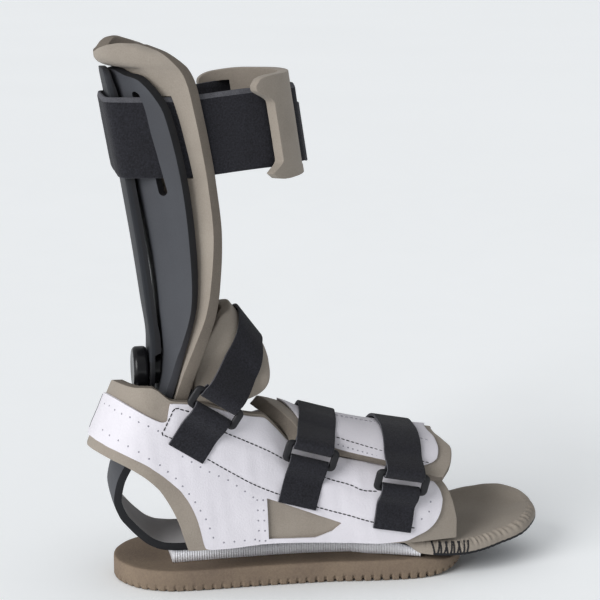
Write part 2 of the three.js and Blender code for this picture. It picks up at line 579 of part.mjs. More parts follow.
// Vamp flap: comes over the top of the foot from the inner side and laps the outer side
const VAMP = { offset: SEWN_GAP * 2 + VINYL + GAP, farZ: 52, margin: 5, skive: 0.75 };
const vampEdges = table('share rear front', [
  [0, -15, 76], [0.1, -18, 83], [0.2, -25, 86], [0.32, -33, 83], [0.42, -36.5, 80.5],
  [0.5, -34.5, 81.5], [0.6, -27, 85],
  [0.7, -19, 86], [1, -11, 78],
]);
const vampNear = table('x z', [
  [-40, 99], [-17, 95], [9, 87], [37, 79], [60, 71.5], [74, 67], [82, 66.5], [87, 70],
]);
function vampPoint(u, share, offset, inset = 0) {
  const rear = smooth(vampEdges, 'share', 'rear', share) + inset * 2;
  const front = smooth(vampEdges, 'share', 'front', share) - inset * 1.4;
  const x = lerp(rear, front, u);
  const arch = formArch(vampRows, x, offset);
  const lift = (z) => Math.asin(THREE.MathUtils.clamp((z - FLOOR) / arch, 0, 1) ** (1 / ROUND));
  const slant = Math.min(0, offset - VAMP.offset - FOAM) * VAMP.skive;
  const from = lift(smooth(vampNear, 'x', 'z', x) + slant + inset * 0.2);
  const to = Math.PI - lift(VAMP.farZ + inset);
  const angle = lerp(from, to, share);
  const y = Math.sign(Math.cos(angle)) * Math.abs(Math.cos(angle)) ** ROUND * formHalf(vampRows, x, offset);
  return vec(x, y * -1, FLOOR + arch * Math.sin(angle) ** ROUND);
}
const VAMP_US = [0, 0.1, 0.25, 0.4, 0.55, 0.7, 0.82, 0.92, 1];
const VAMP_SHARES = [0, 0.08, 0.16, 0.26, 0.36, 0.46, 0.56, 0.68, 0.84, 1];
piece('vamp_foam', layer(VAMP_US, VAMP_SHARES, vampPoint, VAMP.offset + FOAM, VAMP.offset), 'foam');
const coverVamp = (u, share, offset) => vampPoint(u, share, offset, VAMP.margin);
const VAMP_TOP = VAMP.offset + FOAM + SEWN_GAP + GAP;
piece('vamp_cover', layer(VAMP_US, VAMP_SHARES, coverVamp, VAMP_TOP + VINYL, VAMP_TOP), 'vinyl');

// Straps across the foot: each lies in a tilted plane through the middle of its buckle
const strapRows = table('name x z tilt upper lower tab slack yaw', [
  ['midfoot', -11.6, 86.5, 16.5, 16.4, 8.6, 36, 1.6, 0.17],
  ['forefoot', 46.6, 67.5, 11, 15.8, 8.6, 34.4, 1, 0.06],
]);
const BUCKLE_Y = -46;
const CROWN_STEP = 0.5;
const ANKLE = {
  x: -73, z: 121, tilt: 33, yaw: 0, twist: 20, half: 31, low: -10, apex: 52, thick: 9.5, tab: 37,
  bulge: 5, lap: 7, rear: 12, widen: 16, round: 8,
};
const hook = Math.hypot(BUCKLE.thick, BUCKLE.bar) / 2 + GAP + FOOT_STRAP.thick / 2;

// Band of even thickness along a flat path, spread to a width across its plane
function band(path, plane, thick, width, from = -width / 2) {
  const normal = (i) => {
    const run = path[Math.min(i + 1, path.length - 1)].clone().sub(path[Math.max(i - 1, 0)]).normalize();
    return new THREE.Vector2(-run.y, run.x);
  };
  const face = (side) => path.map((p, i) => {
    const q = p.clone().addScaledVector(normal(i), side * thick / 2);
    return [from, from + width].map((w) => plane(q.x, q.y, w));
  });
  return wallBetween(face(1), face(-1));
}

// Rises from 0 to 1 and back over a share from 0 to 1
const hump = (share) => 4 * THREE.MathUtils.clamp(share, 0, 1) * (1 - THREE.MathUtils.clamp(share, 0, 1));

// Plane of a strap: y across the foot, p up along the strap, w along its width
const planeOf = ({ x, z, tilt, yaw, twist = 0, bulge = 0 }) => (y, p, w) => {
  const spread = rad(tilt + twist * THREE.MathUtils.smoothstep(p, 0, ANKLE.apex));
  return vec(
    x + bulge * hump((p - 8) / (ANKLE.apex - 8)) + p * Math.sin(rad(tilt)) + w * Math.cos(spread)
      + Math.max(0, y - BUCKLE_Y) * yaw,
    y,
    z + p * Math.cos(rad(tilt)) - w * Math.sin(spread),
  );
};

// Turn of a strap or tab round a buckle bar, from behind it to its outer face
function turnRound(bar, up, out, sign) {
  return steps(0, 180, 7).map((a) => bar.clone()
    .addScaledVector(out, -hook * Math.cos(rad(a)))
    .addScaledVector(up, -sign * hook * Math.sin(rad(a))));
}

function buckle(name, lower, upper, plane) {
  const middle = lower.clone().add(upper).multiplyScalar(0.5);
  const up = upper.clone().sub(lower).normalize();
  const tall = upper.distanceTo(lower) + BUCKLE.bar;
  const ring = (width, height) => new THREE.Shape([
    [-width / 2 + 1, -height / 2], [width / 2 - 1, -height / 2], [width / 2, -height / 2 + 1],
    [width / 2, height / 2 - 1], [width / 2 - 1, height / 2], [-width / 2 + 1, height / 2],
    [-width / 2, height / 2 - 1], [-width / 2, -height / 2 + 1],
  ].map(([a, b]) => new THREE.Vector2(a, b)));
  const shape = ring(BUCKLE.width, tall);
  shape.holes.push(ring(BUCKLE.width - 2 * BUCKLE.bar, tall - 2 * BUCKLE.bar));
  const geometry = new THREE.ExtrudeGeometry(shape, { depth: BUCKLE.thick, bevelEnabled: false });
  geometry.translate(0, 0, -BUCKLE.thick / 2);
  const origin = plane(middle.x, middle.y, 0);
  const wide = plane(middle.x, middle.y, 1).sub(origin);
  const long = plane(middle.x + up.x, middle.y + up.y, 0).sub(origin);
  const basis = new THREE.Matrix4().makeBasis(wide, long, wide.clone().cross(long)).setPosition(origin);
  piece(name, geometryFrom(solid(geometry.applyMatrix4(basis))), 'gloss');
  return up;
}

// Foot form in a strap's plane at a height p up the strap
function formY(row, p, offset) {
  const at = planeOf(row)(0, p, 0);
  return -formReach(at.x > -20 ? vampRows : formRows, at.x, at.z, offset);
}

for (const row of strapRows) {
  const plane = planeOf(row);
  const point = (p, offset) => new THREE.Vector2(formY(row, p, offset), p);
  const upper = point(BUCKLE.pitch / 2, row.upper);
  const lower = point(-BUCKLE.pitch / 2, row.lower);
  const up = buckle(`${row.name}_buckle`, lower, upper, plane);
  const out = new THREE.Vector2(-up.y, up.x);
  const lift = VAMP_TOP + VINYL + GAP * 2 + FOOT_STRAP.thick / 2 + row.slack;
  const over = [];
  let crown = 0;
  const below = (p) => plane(0, p, 0).z < FLOOR + formArch(vampRows, plane(0, p, 0).x, lift);
  while (below(crown + CROWN_STEP)) crown += CROWN_STEP;
  for (const a of steps(24, 90, 9)) {
    const p = crown * Math.sin(rad(a)) ** 0.8;
    if (p > BUCKLE.pitch / 2 + 7) over.push(point(p, lift));
  }
  const far = over.slice(0, -1).reverse().map((q) => new THREE.Vector2(-q.x, q.y));
  const down = [10, -4, -14].map((p) => new THREE.Vector2(-formY(row, p, lift), p));
  const turn = turnRound(upper, up, out, 1);
  piece(`${row.name}_strap`, band(
    [turn[0].clone().addScaledVector(up, 3), ...turn, turn[6].clone().addScaledVector(up, 3),
      ...over, ...far, ...down],
    plane, FOOT_STRAP.thick, FOOT_STRAP.width,
  ), 'strap');
  const tabTurn = turnRound(lower, up, out, -1);
  const lie = SEWN_GAP * 2 + VINYL + GAP + FOOT_STRAP.thick / 2;
  const tabDown = [0.5, 0.75, 1].map((share) => point(-row.tab * share, lie));
  piece(`${row.name}_tab`, band(
    [tabTurn[0].clone().addScaledVector(up, -2), ...tabTurn, tabTurn[6].clone().addScaledVector(up, -3),
      ...tabDown],
    plane, FOOT_STRAP.thick, FOOT_STRAP.width,
  ), 'strap');
}

// Instep pad and strap over the front of the ankle
const anklePlane = planeOf(ANKLE);
const archPath = (offset, from, count) => steps(from, 180 - from, count).map((a) => new THREE.Vector2(
  -(ANKLE.half + offset) * Math.sign(Math.cos(rad(a))) * Math.abs(Math.cos(rad(a))) ** ROUND,
  ANKLE.low + (ANKLE.apex - ANKLE.low + offset) * Math.sin(rad(a)) ** ROUND,
));
const padFace = (offset) => archPath(offset, 2, 15).map((q) => {
  const climb = THREE.MathUtils.clamp(q.y / ANKLE.apex, 0, 1);
  const widen = Math.sin((Math.min(climb / 0.6, 1) * Math.PI) / 2);
  const round = THREE.MathUtils.smoothstep(climb, 0.72, 1);
  const rear = -ANKLE.rear - ANKLE.widen * widen + ANKLE.round * round;
  const edges = [rear, 16 + ANKLE.lap * hump((climb - 0.2) / 0.8)];
  return edges.map((w) => anklePlane(q.x, q.y, w));
});
piece('instep_pad', wallBetween(padFace(0), padFace(-ANKLE.thick)), 'foam');
{
  const wall = (p, offset) => new THREE.Vector2(-formReach(formRows, ANKLE.x, 110, offset), p);
  const upper = wall(BUCKLE.pitch / 2 + 1, 6.4);
  const lower = wall(-BUCKLE.pitch / 2 + 1, 6.4);
  const up = buckle('ankle_buckle', lower, upper, anklePlane);
  const out = new THREE.Vector2(-up.y, up.x);
  const turn = turnRound(upper, up, out, 1);
  const arch = archPath(GAP * 2 + FOOT_STRAP.thick / 2, 30, 13);
  const farEnd = [[45.5, 8], [47.5, -6], [46.6, -22]].map(([y, p]) => new THREE.Vector2(y, p));
  piece('ankle_strap', band(
    [turn[0].clone().addScaledVector(up, 3), ...turn, turn[6].clone().addScaledVector(up, 3),
      ...arch, ...farEnd],
    anklePlane, FOOT_STRAP.thick, FOOT_STRAP.width,
  ), 'strap');
  const tabTurn = turnRound(lower, up, out, -1);
  const lie = (p) => new THREE.Vector2(-formReach(formRows, ANKLE.x, 100, SEWN_GAP * 2 + VINYL + 1.6), p);
  piece('ankle_tab', band(
    [tabTurn[0].clone().addScaledVector(up, -2), ...tabTurn, tabTurn[6].clone().addScaledVector(up, -3),
      ...[0.5, 0.75, 1].map((share) => lie(-ANKLE.tab * share))],
    anklePlane, FOOT_STRAP.thick, FOOT_STRAP.width,
  ), 'strap');
}

// Origin under the middle of the assembly's box
const box = new THREE.Box3().setFromObject(orthosis, true);
const middle = box.getCenter(vec(0, 0, 0));
orthosis.position.set(-middle.x, -middle.y, -box.min.z);

export default orthosis;
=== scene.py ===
"""Pressure relief ankle foot orthosis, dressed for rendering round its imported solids."""

import math
from types import SimpleNamespace as Sizes

import bmesh
import bpy
import numpy as np
from mathutils import Matrix, Vector


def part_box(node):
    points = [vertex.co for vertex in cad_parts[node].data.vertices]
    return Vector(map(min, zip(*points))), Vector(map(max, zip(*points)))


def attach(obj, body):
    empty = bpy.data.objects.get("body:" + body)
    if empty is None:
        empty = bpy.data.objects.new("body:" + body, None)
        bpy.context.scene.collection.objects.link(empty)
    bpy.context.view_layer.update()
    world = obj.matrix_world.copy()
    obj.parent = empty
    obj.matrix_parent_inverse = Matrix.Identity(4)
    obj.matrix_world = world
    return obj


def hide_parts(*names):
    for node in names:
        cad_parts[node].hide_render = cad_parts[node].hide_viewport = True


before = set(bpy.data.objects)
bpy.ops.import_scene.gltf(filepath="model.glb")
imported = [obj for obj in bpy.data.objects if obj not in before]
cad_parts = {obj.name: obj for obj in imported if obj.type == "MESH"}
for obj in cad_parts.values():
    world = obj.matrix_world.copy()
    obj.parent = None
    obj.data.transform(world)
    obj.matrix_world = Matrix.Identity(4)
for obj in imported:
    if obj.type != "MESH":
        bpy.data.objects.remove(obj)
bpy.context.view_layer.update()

# Shapes are worked out in millimetres, then moved into the row frame in metres
MM = 0.001
SOLE_HEEL_X, SOLE_NEAR_Y = -134.0, -46.0
sole_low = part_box("outsole")[0]
SHIFT = np.array([sole_low[0] / MM - SOLE_HEEL_X, sole_low[1] / MM - SOLE_NEAR_Y, 0.0])


class Table:
    """Rows with named columns, read on a smooth curve through them."""

    def __init__(self, names, rows, key=None):
        self.columns = {n: np.array([r[i] for r in rows], float) for i, n in enumerate(names.split())}
        self.key = key or names.split()[0]

    def at(self, name, where):
        x, y = self.columns[self.key], self.columns[name]
        d = np.diff(y) / np.diff(x)
        before, after = d[:-1], d[1:]
        same = before * after > 0
        inner = np.where(same, 2 * before * after / np.where(same, before + after, 1), 0)
        m = np.concatenate([d[:1], inner, d[-1:]])
        w = np.clip(np.asarray(where, float), x[0], x[-1])
        i = np.clip(np.searchsorted(x, w, side="right") - 1, 0, len(x) - 2)
        h = x[i + 1] - x[i]
        t = (w - x[i]) / h
        return ((2 * t**3 - 3 * t**2 + 1) * y[i] + (t**3 - 2 * t**2 + t) * m[i] * h
                + (3 * t**2 - 2 * t**3) * y[i + 1] + (t**3 - t**2) * m[i + 1] * h)


def ease(x, low, high):
    t = np.clip((np.asarray(x, float) - low) / (high - low), 0, 1)
    return t * t * (3 - 2 * t)


def xyz(x, y, z):
    return np.stack(np.broadcast_arrays(np.asarray(x, float), y, z), -1)


def unit(v):
    return v / np.linalg.norm(v, axis=-1)[..., None]


def spans(*rows):
    """Stretches of even steps, each from its first value, last value and count."""
    return np.concatenate([np.linspace(*row) for row in rows])


def ripple(p, size, seed):
    """Smooth waves of about that size in millimetres, from -1 to 1, the same on every run."""
    draw = np.random.default_rng(seed)
    total = np.zeros(p.shape[:-1])
    for _ in range(6):
        way = draw.normal(size=3)
        way /= np.linalg.norm(way)
        total += np.sin(p @ way * (2 * math.pi / (size * draw.uniform(0.7, 1.5))) + draw.uniform(0, 6.28))
    return total / 3.2


# Materials

def tone(code):
    """Linear colour of a hex code."""
    parts = [int(code[i:i + 2], 16) / 255 for i in (0, 2, 4)]
    return tuple(c / 12.92 if c <= 0.04045 else ((c + 0.055) / 1.055) ** 2.4 for c in parts)


def feed(tree, node, **inputs):
    """Links or sets a node's inputs, named with underscores for spaces."""
    for name, value in inputs.items():
        socket = node.inputs[name.replace("_", " ")]
        if isinstance(value, bpy.types.NodeSocket):
            tree.links.new(value, socket)
        else:
            socket.default_value = value
    return node


def node_of(tree, kind, **inputs):
    return feed(tree, tree.nodes.new(kind), **inputs)


def ramp_of(tree, factor, stops):
    node = node_of(tree, "ShaderNodeValToRGB", Fac=factor)
    ramp = node.color_ramp
    while len(ramp.elements) < len(stops):
        ramp.elements.new(0.5)
    for element, (place, colour) in zip(ramp.elements, stops):
        element.position = place
        element.color = (*colour, 1)
    return node.outputs["Color"]


def material(name, dark, light, patch, grain, bump, rough, sheen=0.0, fine=0.5, coat=0.0, gloss=0.35):
    """Colour drifts in patches and is speckled by a grain that lifts the surface; sizes in millimetres."""
    mat = bpy.data.materials.new(name)
    mat.use_nodes = True
    tree = mat.node_tree
    where = tree.nodes.new("ShaderNodeTexCoord").outputs["Object"]
    noise = "ShaderNodeTexNoise"
    broad = node_of(tree, noise, Vector=where, Scale=1000 / patch, Detail=3.0, Roughness=0.55).outputs["Fac"]
    small = node_of(tree, noise, Vector=where, Scale=1000 / grain, Detail=4.0, Roughness=0.6).outputs["Fac"]
    blend = node_of(tree, "ShaderNodeMix", Factor=fine, A=broad, B=small)
    colour = ramp_of(tree, blend.outputs["Result"], [(0.3, tone(dark)), (0.7, tone(light))])
    lift = node_of(tree, "ShaderNodeBump", Strength=bump, Distance=grain * MM * 0.5, Height=small)
    low, high = max(0.0, rough - 0.08), min(1.0, rough + 0.08)
    span = node_of(tree, "ShaderNodeMapRange", Value=broad, To_Min=low, To_Max=high)
    feed(tree, tree.nodes["Principled BSDF"], Base_Color=colour, Normal=lift.outputs["Normal"],
         Roughness=span.outputs["Result"], Sheen_Weight=sheen, Coat_Weight=coat, Specular_IOR_Level=gloss)
    return mat


def fade_down(mat, top, bottom, code):
    """Turns a look to another tone between two heights in metres."""
    tree = mat.node_tree
    base = tree.nodes["Principled BSDF"].inputs["Base Color"]
    where = tree.nodes["Texture Coordinate"].outputs["Object"]
    level = node_of(tree, "ShaderNodeSeparateXYZ", Vector=where)
    lower = node_of(tree, "ShaderNodeMapRange", Value=level.outputs["Z"], From_Min=top, From_Max=bottom)
    blend = tree.nodes.new("ShaderNodeMix")
    blend.data_type = "RGBA"
    factor, start, end = blend.inputs[0], blend.inputs[6], blend.inputs[7]
    end.default_value = (*tone(code), 1)
    tree.links.new(lower.outputs["Result"], factor)
    tree.links.new(base.links[0].from_socket, start)
    tree.links.new(blend.outputs[2], base)
    return mat


FOAM_LOOK = material("foam", "8a8177", "a1988d", 40, 0.9, 0.4, 0.92, sheen=0.1, fine=0.45)
# Painted shade: the foam's cut edges are a darker copy of the foam, for faces turned from the light
FOAM_EDGE_SHADE = material("foam_edge_shade", "6f675e", "857c72", 18, 0.8, 0.5, 0.95, fine=0.6)
VINYL_LOOK = material("vinyl", "d6d3da", "e5e2e8", 55, 1.2, 0.34, 0.6, fine=0.3)
STRAP_LOOK = material("webbing", "0e0e12", "2c2c33", 14, 1.1, 0.95, 0.95, sheen=0.05, fine=0.85)
# Paler webbing edges: the fuzzy cut edge, with a painted highlight where the thick edge catches the light
STRAP_EDGE_HIGHLIGHT = material("webbing_edge_highlight", "3a3a3f", "66666b", 6, 0.6, 0.7, 0.95, fine=0.7)
SHELL_LOOK = material("shell", "3a3b40", "46484d", 60, 0.8, 0.12, 0.62, fine=0.35)
BAR_LOOK = material("bar", "26272b", "303236", 60, 0.8, 0.12, 0.6, fine=0.35, gloss=0.2)
# Painted light: the shell's inner face is the same dark plastic, coloured pale for the light and reflection
# it catches inside the heel loop
SHELL_INNER_LIT = material("shell_inner_lit", "b3b1b3", "c6c4c6", 40, 0.9, 0.12, 0.7, fine=0.35)
# Painted shade: the shell's cut edges are near black for the shade on edges turned from the light and in the
# gap against the liner
SHELL_EDGE_SHADE = material("shell_edge_shade", "19191c", "252629", 20, 0.8, 0.1, 0.55, fine=0.4, gloss=0.25)
# The same painted shade on the edges, turning to the shell's own paler tone lower down
EDGE_SHADE_FADE = material("shell_edge_shade_fade", "19191c", "252629", 20, 0.8, 0.1, 0.58, fine=0.4, gloss=0.3)
fade_down(EDGE_SHADE_FADE, 0.185, 0.15, "404146")
KNOB_LOOK = material("knob", "0c0c0e", "17171a", 30, 1.2, 0.03, 0.3, coat=0.15, gloss=0.25)
RING_LOOK = material("ring", "141417", "1f1f23", 10, 0.8, 0.08, 0.45)
SOLE_LOOK = material("sole", "6f6054", "897967", 26, 1.3, 0.5, 0.9)
RIB_LOOK = material("ribbed", "dedee4", "f2f2f6", 16, 0.9, 0.15, 0.6, fine=0.4)
THREAD_LOOK = material("thread", "17171a", "2a2a2d", 5, 0.5, 0.3, 0.8)
HOLE_LOOK = material("pinhole", "807f88", "a09fa8", 5, 0.5, 0.2, 0.9)
GREY_THREAD = material("grey_thread", "97969d", "b4b3ba", 5, 0.5, 0.3, 0.8)
DARK_THREAD = material("dark_thread", "3b3b41", "4d4d54", 5, 0.5, 0.3, 0.8)
# Foam pieces get painted shade on their cut edges
FOAM_WALL = [FOAM_LOOK, FOAM_LOOK, FOAM_EDGE_SHADE]
# Straps get a painted highlight on their edges
STRAP_WALL = [STRAP_LOOK, STRAP_LOOK, STRAP_EDGE_HIGHLIGHT]
FLOOR_LOOK = material("floor", "f4f6f7", "f8fafb", 900, 60, 0.0, 0.85)

# Meshes


def solid(name, points, faces, looks, kinds=None, weld=0.0):
    """An object from points in millimetres; kinds picks a look for each face."""
    mesh = bpy.data.meshes.new(name)
    mesh.from_pydata(((np.asarray(points) + SHIFT) * MM).tolist(), [], faces)
    for look in looks:
        mesh.materials.append(look)
    if kinds is not None:
        mesh.polygons.foreach_set("material_index", np.asarray(kinds, np.int32))
    form = bmesh.new()
    form.from_mesh(mesh)
    if weld:
        bmesh.ops.remove_doubles(form, verts=form.verts, dist=weld)
    bmesh.ops.recalc_face_normals(form, faces=form.faces)
    form.to_mesh(mesh)
    form.free()
    obj = bpy.data.objects.new(name, mesh)
    bpy.context.scene.collection.objects.link(obj)
    return obj


def shade_smooth(mesh):
    mesh.polygons.foreach_set("use_smooth", np.ones(len(mesh.polygons), bool))


def add(name, points, faces, looks, kinds=None, node=None, bevel=0.0, padded=None):
    """A piece of the model, with its sharp edges rounded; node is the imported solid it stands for."""
    obj = solid(name, points, faces, looks, kinds, weld=1e-6)
    shade_smooth(obj.data)
    if bevel:
        edge = obj.modifiers.new("edge", "BEVEL")
        edge.width = bevel * MM
        edge.segments = 3
        edge.limit_method = "ANGLE"
        edge.angle_limit = math.radians(48)
        edge.harden_normals = False
    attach(obj, "root")
    if node:
        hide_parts(node)
    return obj


def smooth_edges(obj, degrees):
    """Splits the shading at sharp edges."""
    shade_smooth(obj.data)
    obj.data.set_sharp_from_angle(angle=math.radians(degrees))


def apply_modifiers(obj):
    for other in bpy.context.selected_objects:
        other.select_set(False)
    bpy.context.view_layer.objects.active = obj
    for modifier in list(obj.modifiers):
        bpy.ops.object.modifier_apply(modifier=modifier.name)


def ring_faces(rings, sides, closed=False):
    """Faces between neighbouring rings of points; closed joins the last ring to the first."""
    faces = []
    for k in range(rings if closed else rings - 1):
        for i in range(sides):
            here, there, j = k * sides, (k + 1) % rings * sides, (i + 1) % sides
            faces.append((here + i, here + j, there + j, there + i))
    return faces


def caps(rings, sides):
    """Faces that close the first and the last ring."""
    return [tuple(range(sides)), tuple(range((rings - 1) * sides, rings * sides))]


def grid_wall(us, vs, place, outer, inner, loop=False, hole=None, trim=None):
    """Points, faces and kinds (0 outer, 1 inner, 2 edge or trim) of a wall between offsets of a surface."""
    u, v = np.meshgrid(us, vs, indexing="ij")
    n, m = u.shape
    points = np.concatenate([place(u, v, outer).reshape(-1, 3), place(u, v, inner).reshape(-1, 3)])
    rows = n if loop else n - 1
    keep = np.ones((rows, m - 1), bool)
    if hole is not None:
        uc = (u[:rows, :-1] + np.roll(u, -1, 0)[:rows, :-1]) / 2
        vc = (v[:rows, :-1] + v[:rows, 1:]) / 2
        keep = ~hole(uc, vc)
    at = lambda side, i, j: side * n * m + (i % n) * m + j
    faces, kinds = [], []

    def quad(kind, *corners):
        faces.append(corners)
        kinds.append(kind)

    def kept(i, j):
        if loop:
            i %= n
        return 0 <= i < rows and 0 <= j < m - 1 and keep[i, j]

    for i in range(rows):
        for j in range(m - 1):
            if not keep[i, j]:
                continue
            trimmed = trim is not None and trim(us[i], (vs[j] + vs[j + 1]) / 2)
            quad(2 if trimmed else 0, at(0, i, j), at(0, i, j + 1), at(0, i + 1, j + 1), at(0, i + 1, j))
            quad(1, at(1, i, j), at(1, i + 1, j), at(1, i + 1, j + 1), at(1, i, j + 1))
            if not kept(i, j - 1):
                quad(2, at(0, i, j), at(0, i + 1, j), at(1, i + 1, j), at(1, i, j))
            if not kept(i, j + 1):
                quad(2, at(0, i, j + 1), at(1, i, j + 1), at(1, i + 1, j + 1), at(0, i + 1, j + 1))
            if not kept(i - 1, j):
                quad(2, at(0, i, j), at(1, i, j), at(1, i, j + 1), at(0, i, j + 1))
            if not kept(i + 1, j):
                quad(2, at(0, i + 1, j), at(0, i + 1, j + 1), at(1, i + 1, j + 1), at(1, i + 1, j))
    return points, faces, kinds


def wall(name, us, vs, place, outer, inner, looks, loop=False, hole=None, trim=None, **more):
    points, faces, kinds = grid_wall(us, vs, place, outer, inner, loop, hole, trim)
    return add(name, points, faces, looks, kinds, **more)


def carve(obj, tool):
    """Cuts a tool's shape out of a piece and drops the tool."""
    knife = obj.modifiers.new("cut", "BOOLEAN")
    knife.operation = "DIFFERENCE"
    knife.solver = "EXACT"
    knife.object = tool
    knife.material_mode = "TRANSFER"
    apply_modifiers(obj)
    mesh = tool.data
    bpy.data.objects.remove(tool)
    bpy.data.meshes.remove(mesh)


def prism(ends, look):
    """A cutting tool between two rings of points."""
    count = len(ends[0])
    return solid("tool", np.concatenate(ends), caps(2, count) + ring_faces(2, count), [look])


def path_lengths(points):
    return np.concatenate([[0], np.cumsum(np.linalg.norm(np.diff(points, axis=0), axis=1))])


def even_steps(points, count, closed=False):
    """Places at even steps on the line through points; a closed line stops one step before its end."""
    run = path_lengths(points)
    marks = np.linspace(0, run[-1], count, endpoint=not closed)
    return np.stack([np.interp(marks, run, column) for column in points.T], -1)


def curve_through(points, count):
    """Centripetal curve through points, at even steps."""
    p = np.asarray(points, float)
    p = np.vstack([2 * p[0] - p[1], p, 2 * p[-1] - p[-2]])
    out = []
    for i in range(1, len(p) - 2):
        k = [0.0]
        for a, b in zip(p[i - 1:i + 2], p[i:i + 3]):
            k.append(k[-1] + max(np.linalg.norm(b - a), 1e-6) ** 0.5)

        def between(first, last, start, end, t):
            return (k[last] - t) / (k[last] - k[first]) * start + (t - k[first]) / (k[last] - k[first]) * end

        for t in np.linspace(k[1], k[2], 16, endpoint=False):
            a = [between(j, j + 1, p[i - 1 + j], p[i + j], t) for j in range(3)]
            b = [between(j, j + 2, a[j], a[j + 1], t) for j in range(2)]
            out.append(between(1, 2, b[0], b[1], t))
    out.append(p[-2])
    return even_steps(np.array(out), count)


def beads(name, places, ways, normals, size, look):
    """Many small rounded grains, such as stitches or pinholes, joined in one mesh."""
    rings, sides = 5, 8
    t = np.linspace(-math.pi / 2, math.pi / 2, rings)[:, None]
    a = np.arange(sides) / sides * 2 * math.pi
    ball = xyz(np.sin(t), np.cos(t) * np.cos(a), np.cos(t) * np.sin(a))
    base = ball.reshape(-1, 3) * 0.5 * size
    faces = ring_faces(rings, sides)
    points, all_faces = [], []
    for p, w, n in zip(places, ways, normals):
        w = unit(w)
        side = unit(np.cross(n, w))
        start = len(points) * len(base)
        points.append(p + base @ np.stack([w, side, np.cross(w, side)]))
        all_faces += [tuple(start + c for c in f) for f in faces]
    return add(name, np.concatenate(points), all_faces, [look])


# Camera at the photo's angle, and the studio

EYE = np.array([-224.2, -1102.2, 407.0])
CAMERA_AXES = Matrix((
    (0.98163, 0.03804, -0.18698), (-0.19081, 0.19571, -0.96191), (0.0, 0.97992, 0.19937),
))
SENSOR, FOCAL_PIXELS, PHOTO_PIXELS = 36.0, 1769.0, 600.0
camera = bpy.data.objects.new("camera", bpy.data.cameras.new("camera"))
camera.data.sensor_width = SENSOR
camera.data.lens = SENSOR * FOCAL_PIXELS / PHOTO_PIXELS
camera.matrix_world = Matrix.Translation(Vector((EYE + SHIFT) * MM)) @ CAMERA_AXES.to_4x4()
bpy.context.scene.collection.objects.link(camera)
bpy.context.scene.camera = camera

bpy.ops.mesh.primitive_plane_add(size=80, location=(0, 0, -0.0002))
floor = bpy.context.object
floor.name = "floor"
floor.data.materials.append(FLOOR_LOOK)
paper = FLOOR_LOOK.node_tree
# Painted light and shadow: the floor glows, and ambient occlusion dims the glow near the model into a painted
# contact shadow
painted_shadow_reach = node_of(paper, "ShaderNodeAmbientOcclusion", Distance=0.13)
painted_floor_glow = ramp_of(paper, painted_shadow_reach.outputs["AO"], [(0.25, (0.0, 0.0, 0.0)), (0.95, (0.21, 0.21, 0.21))])
feed(paper, paper.nodes["Principled BSDF"], Emission_Color=(*tone("f2f6fa"), 1), Emission_Strength=painted_floor_glow)


def sun(name, place, strength, spread):
    """Even light from the direction of a place, as soft as the spread in degrees."""
    light = bpy.data.lights.new(name, "SUN")
    light.energy = strength
    light.angle = math.radians(spread)
    obj = bpy.data.objects.new(name, light)
    obj.rotation_euler = Vector(place).to_track_quat("Z", "Y").to_euler()
    bpy.context.scene.collection.objects.link(obj)


sun("key", (-2.3, -1.45, 1.15), 2.35, 40)
sun("top", (-0.4, -0.6, 2.0), 0.12, 60)
world = bpy.data.worlds.new("studio")
bpy.context.scene.world = world
world.use_nodes = True
feed(world.node_tree, world.node_tree.nodes["Background"], Color=(*tone("f4f6f8"), 1), Strength=0.4)
bpy.context.scene.view_settings.view_transform = "Standard"

# Walking sole with a toothed lower edge

SOLE = Sizes(thick=13.7, long=233.0, toe=99.0, rocker_from=58.0, rocker=7.2, taper_from=56.0, taper_to=82.0,
             taper=3.0, pitch=6.1, bite=1.7, tooth=1.5)
SOLE_COUNT, SOLE_SOFTENING = 1056, 30
SOLE_ROWS = Table("x near far", [
    [-134, 0, 0], [-133, 9, 9], [-129, 18.5, 18.5], [-122, 28, 28], [-112, 35, 35], [-98, 39.5, 39],
    [-80, 40.5, 39], [-40, 40, 37], [0, 41, 38], [30, 44.5, 41.5], [55, 46, 43.5], [72, 44, 42],
    [84, 38, 37], [92, 28, 28], [97, 15, 15], [99, 0, 0],
])


def outward(loop):
    run = unit(np.roll(loop, -1, 0) - np.roll(loop, 1, 0))
    return np.stack([run[:, 1], -run[:, 0]], -1)


def sole_rocker(x):
    share = np.clip((x - SOLE.rocker_from) / (SOLE.toe - SOLE.rocker_from), 0, 1)
    return SOLE.rocker * share**2


def sole_top(x):
    return SOLE.thick - SOLE.taper * ease(x, SOLE.taper_from, SOLE.taper_to)


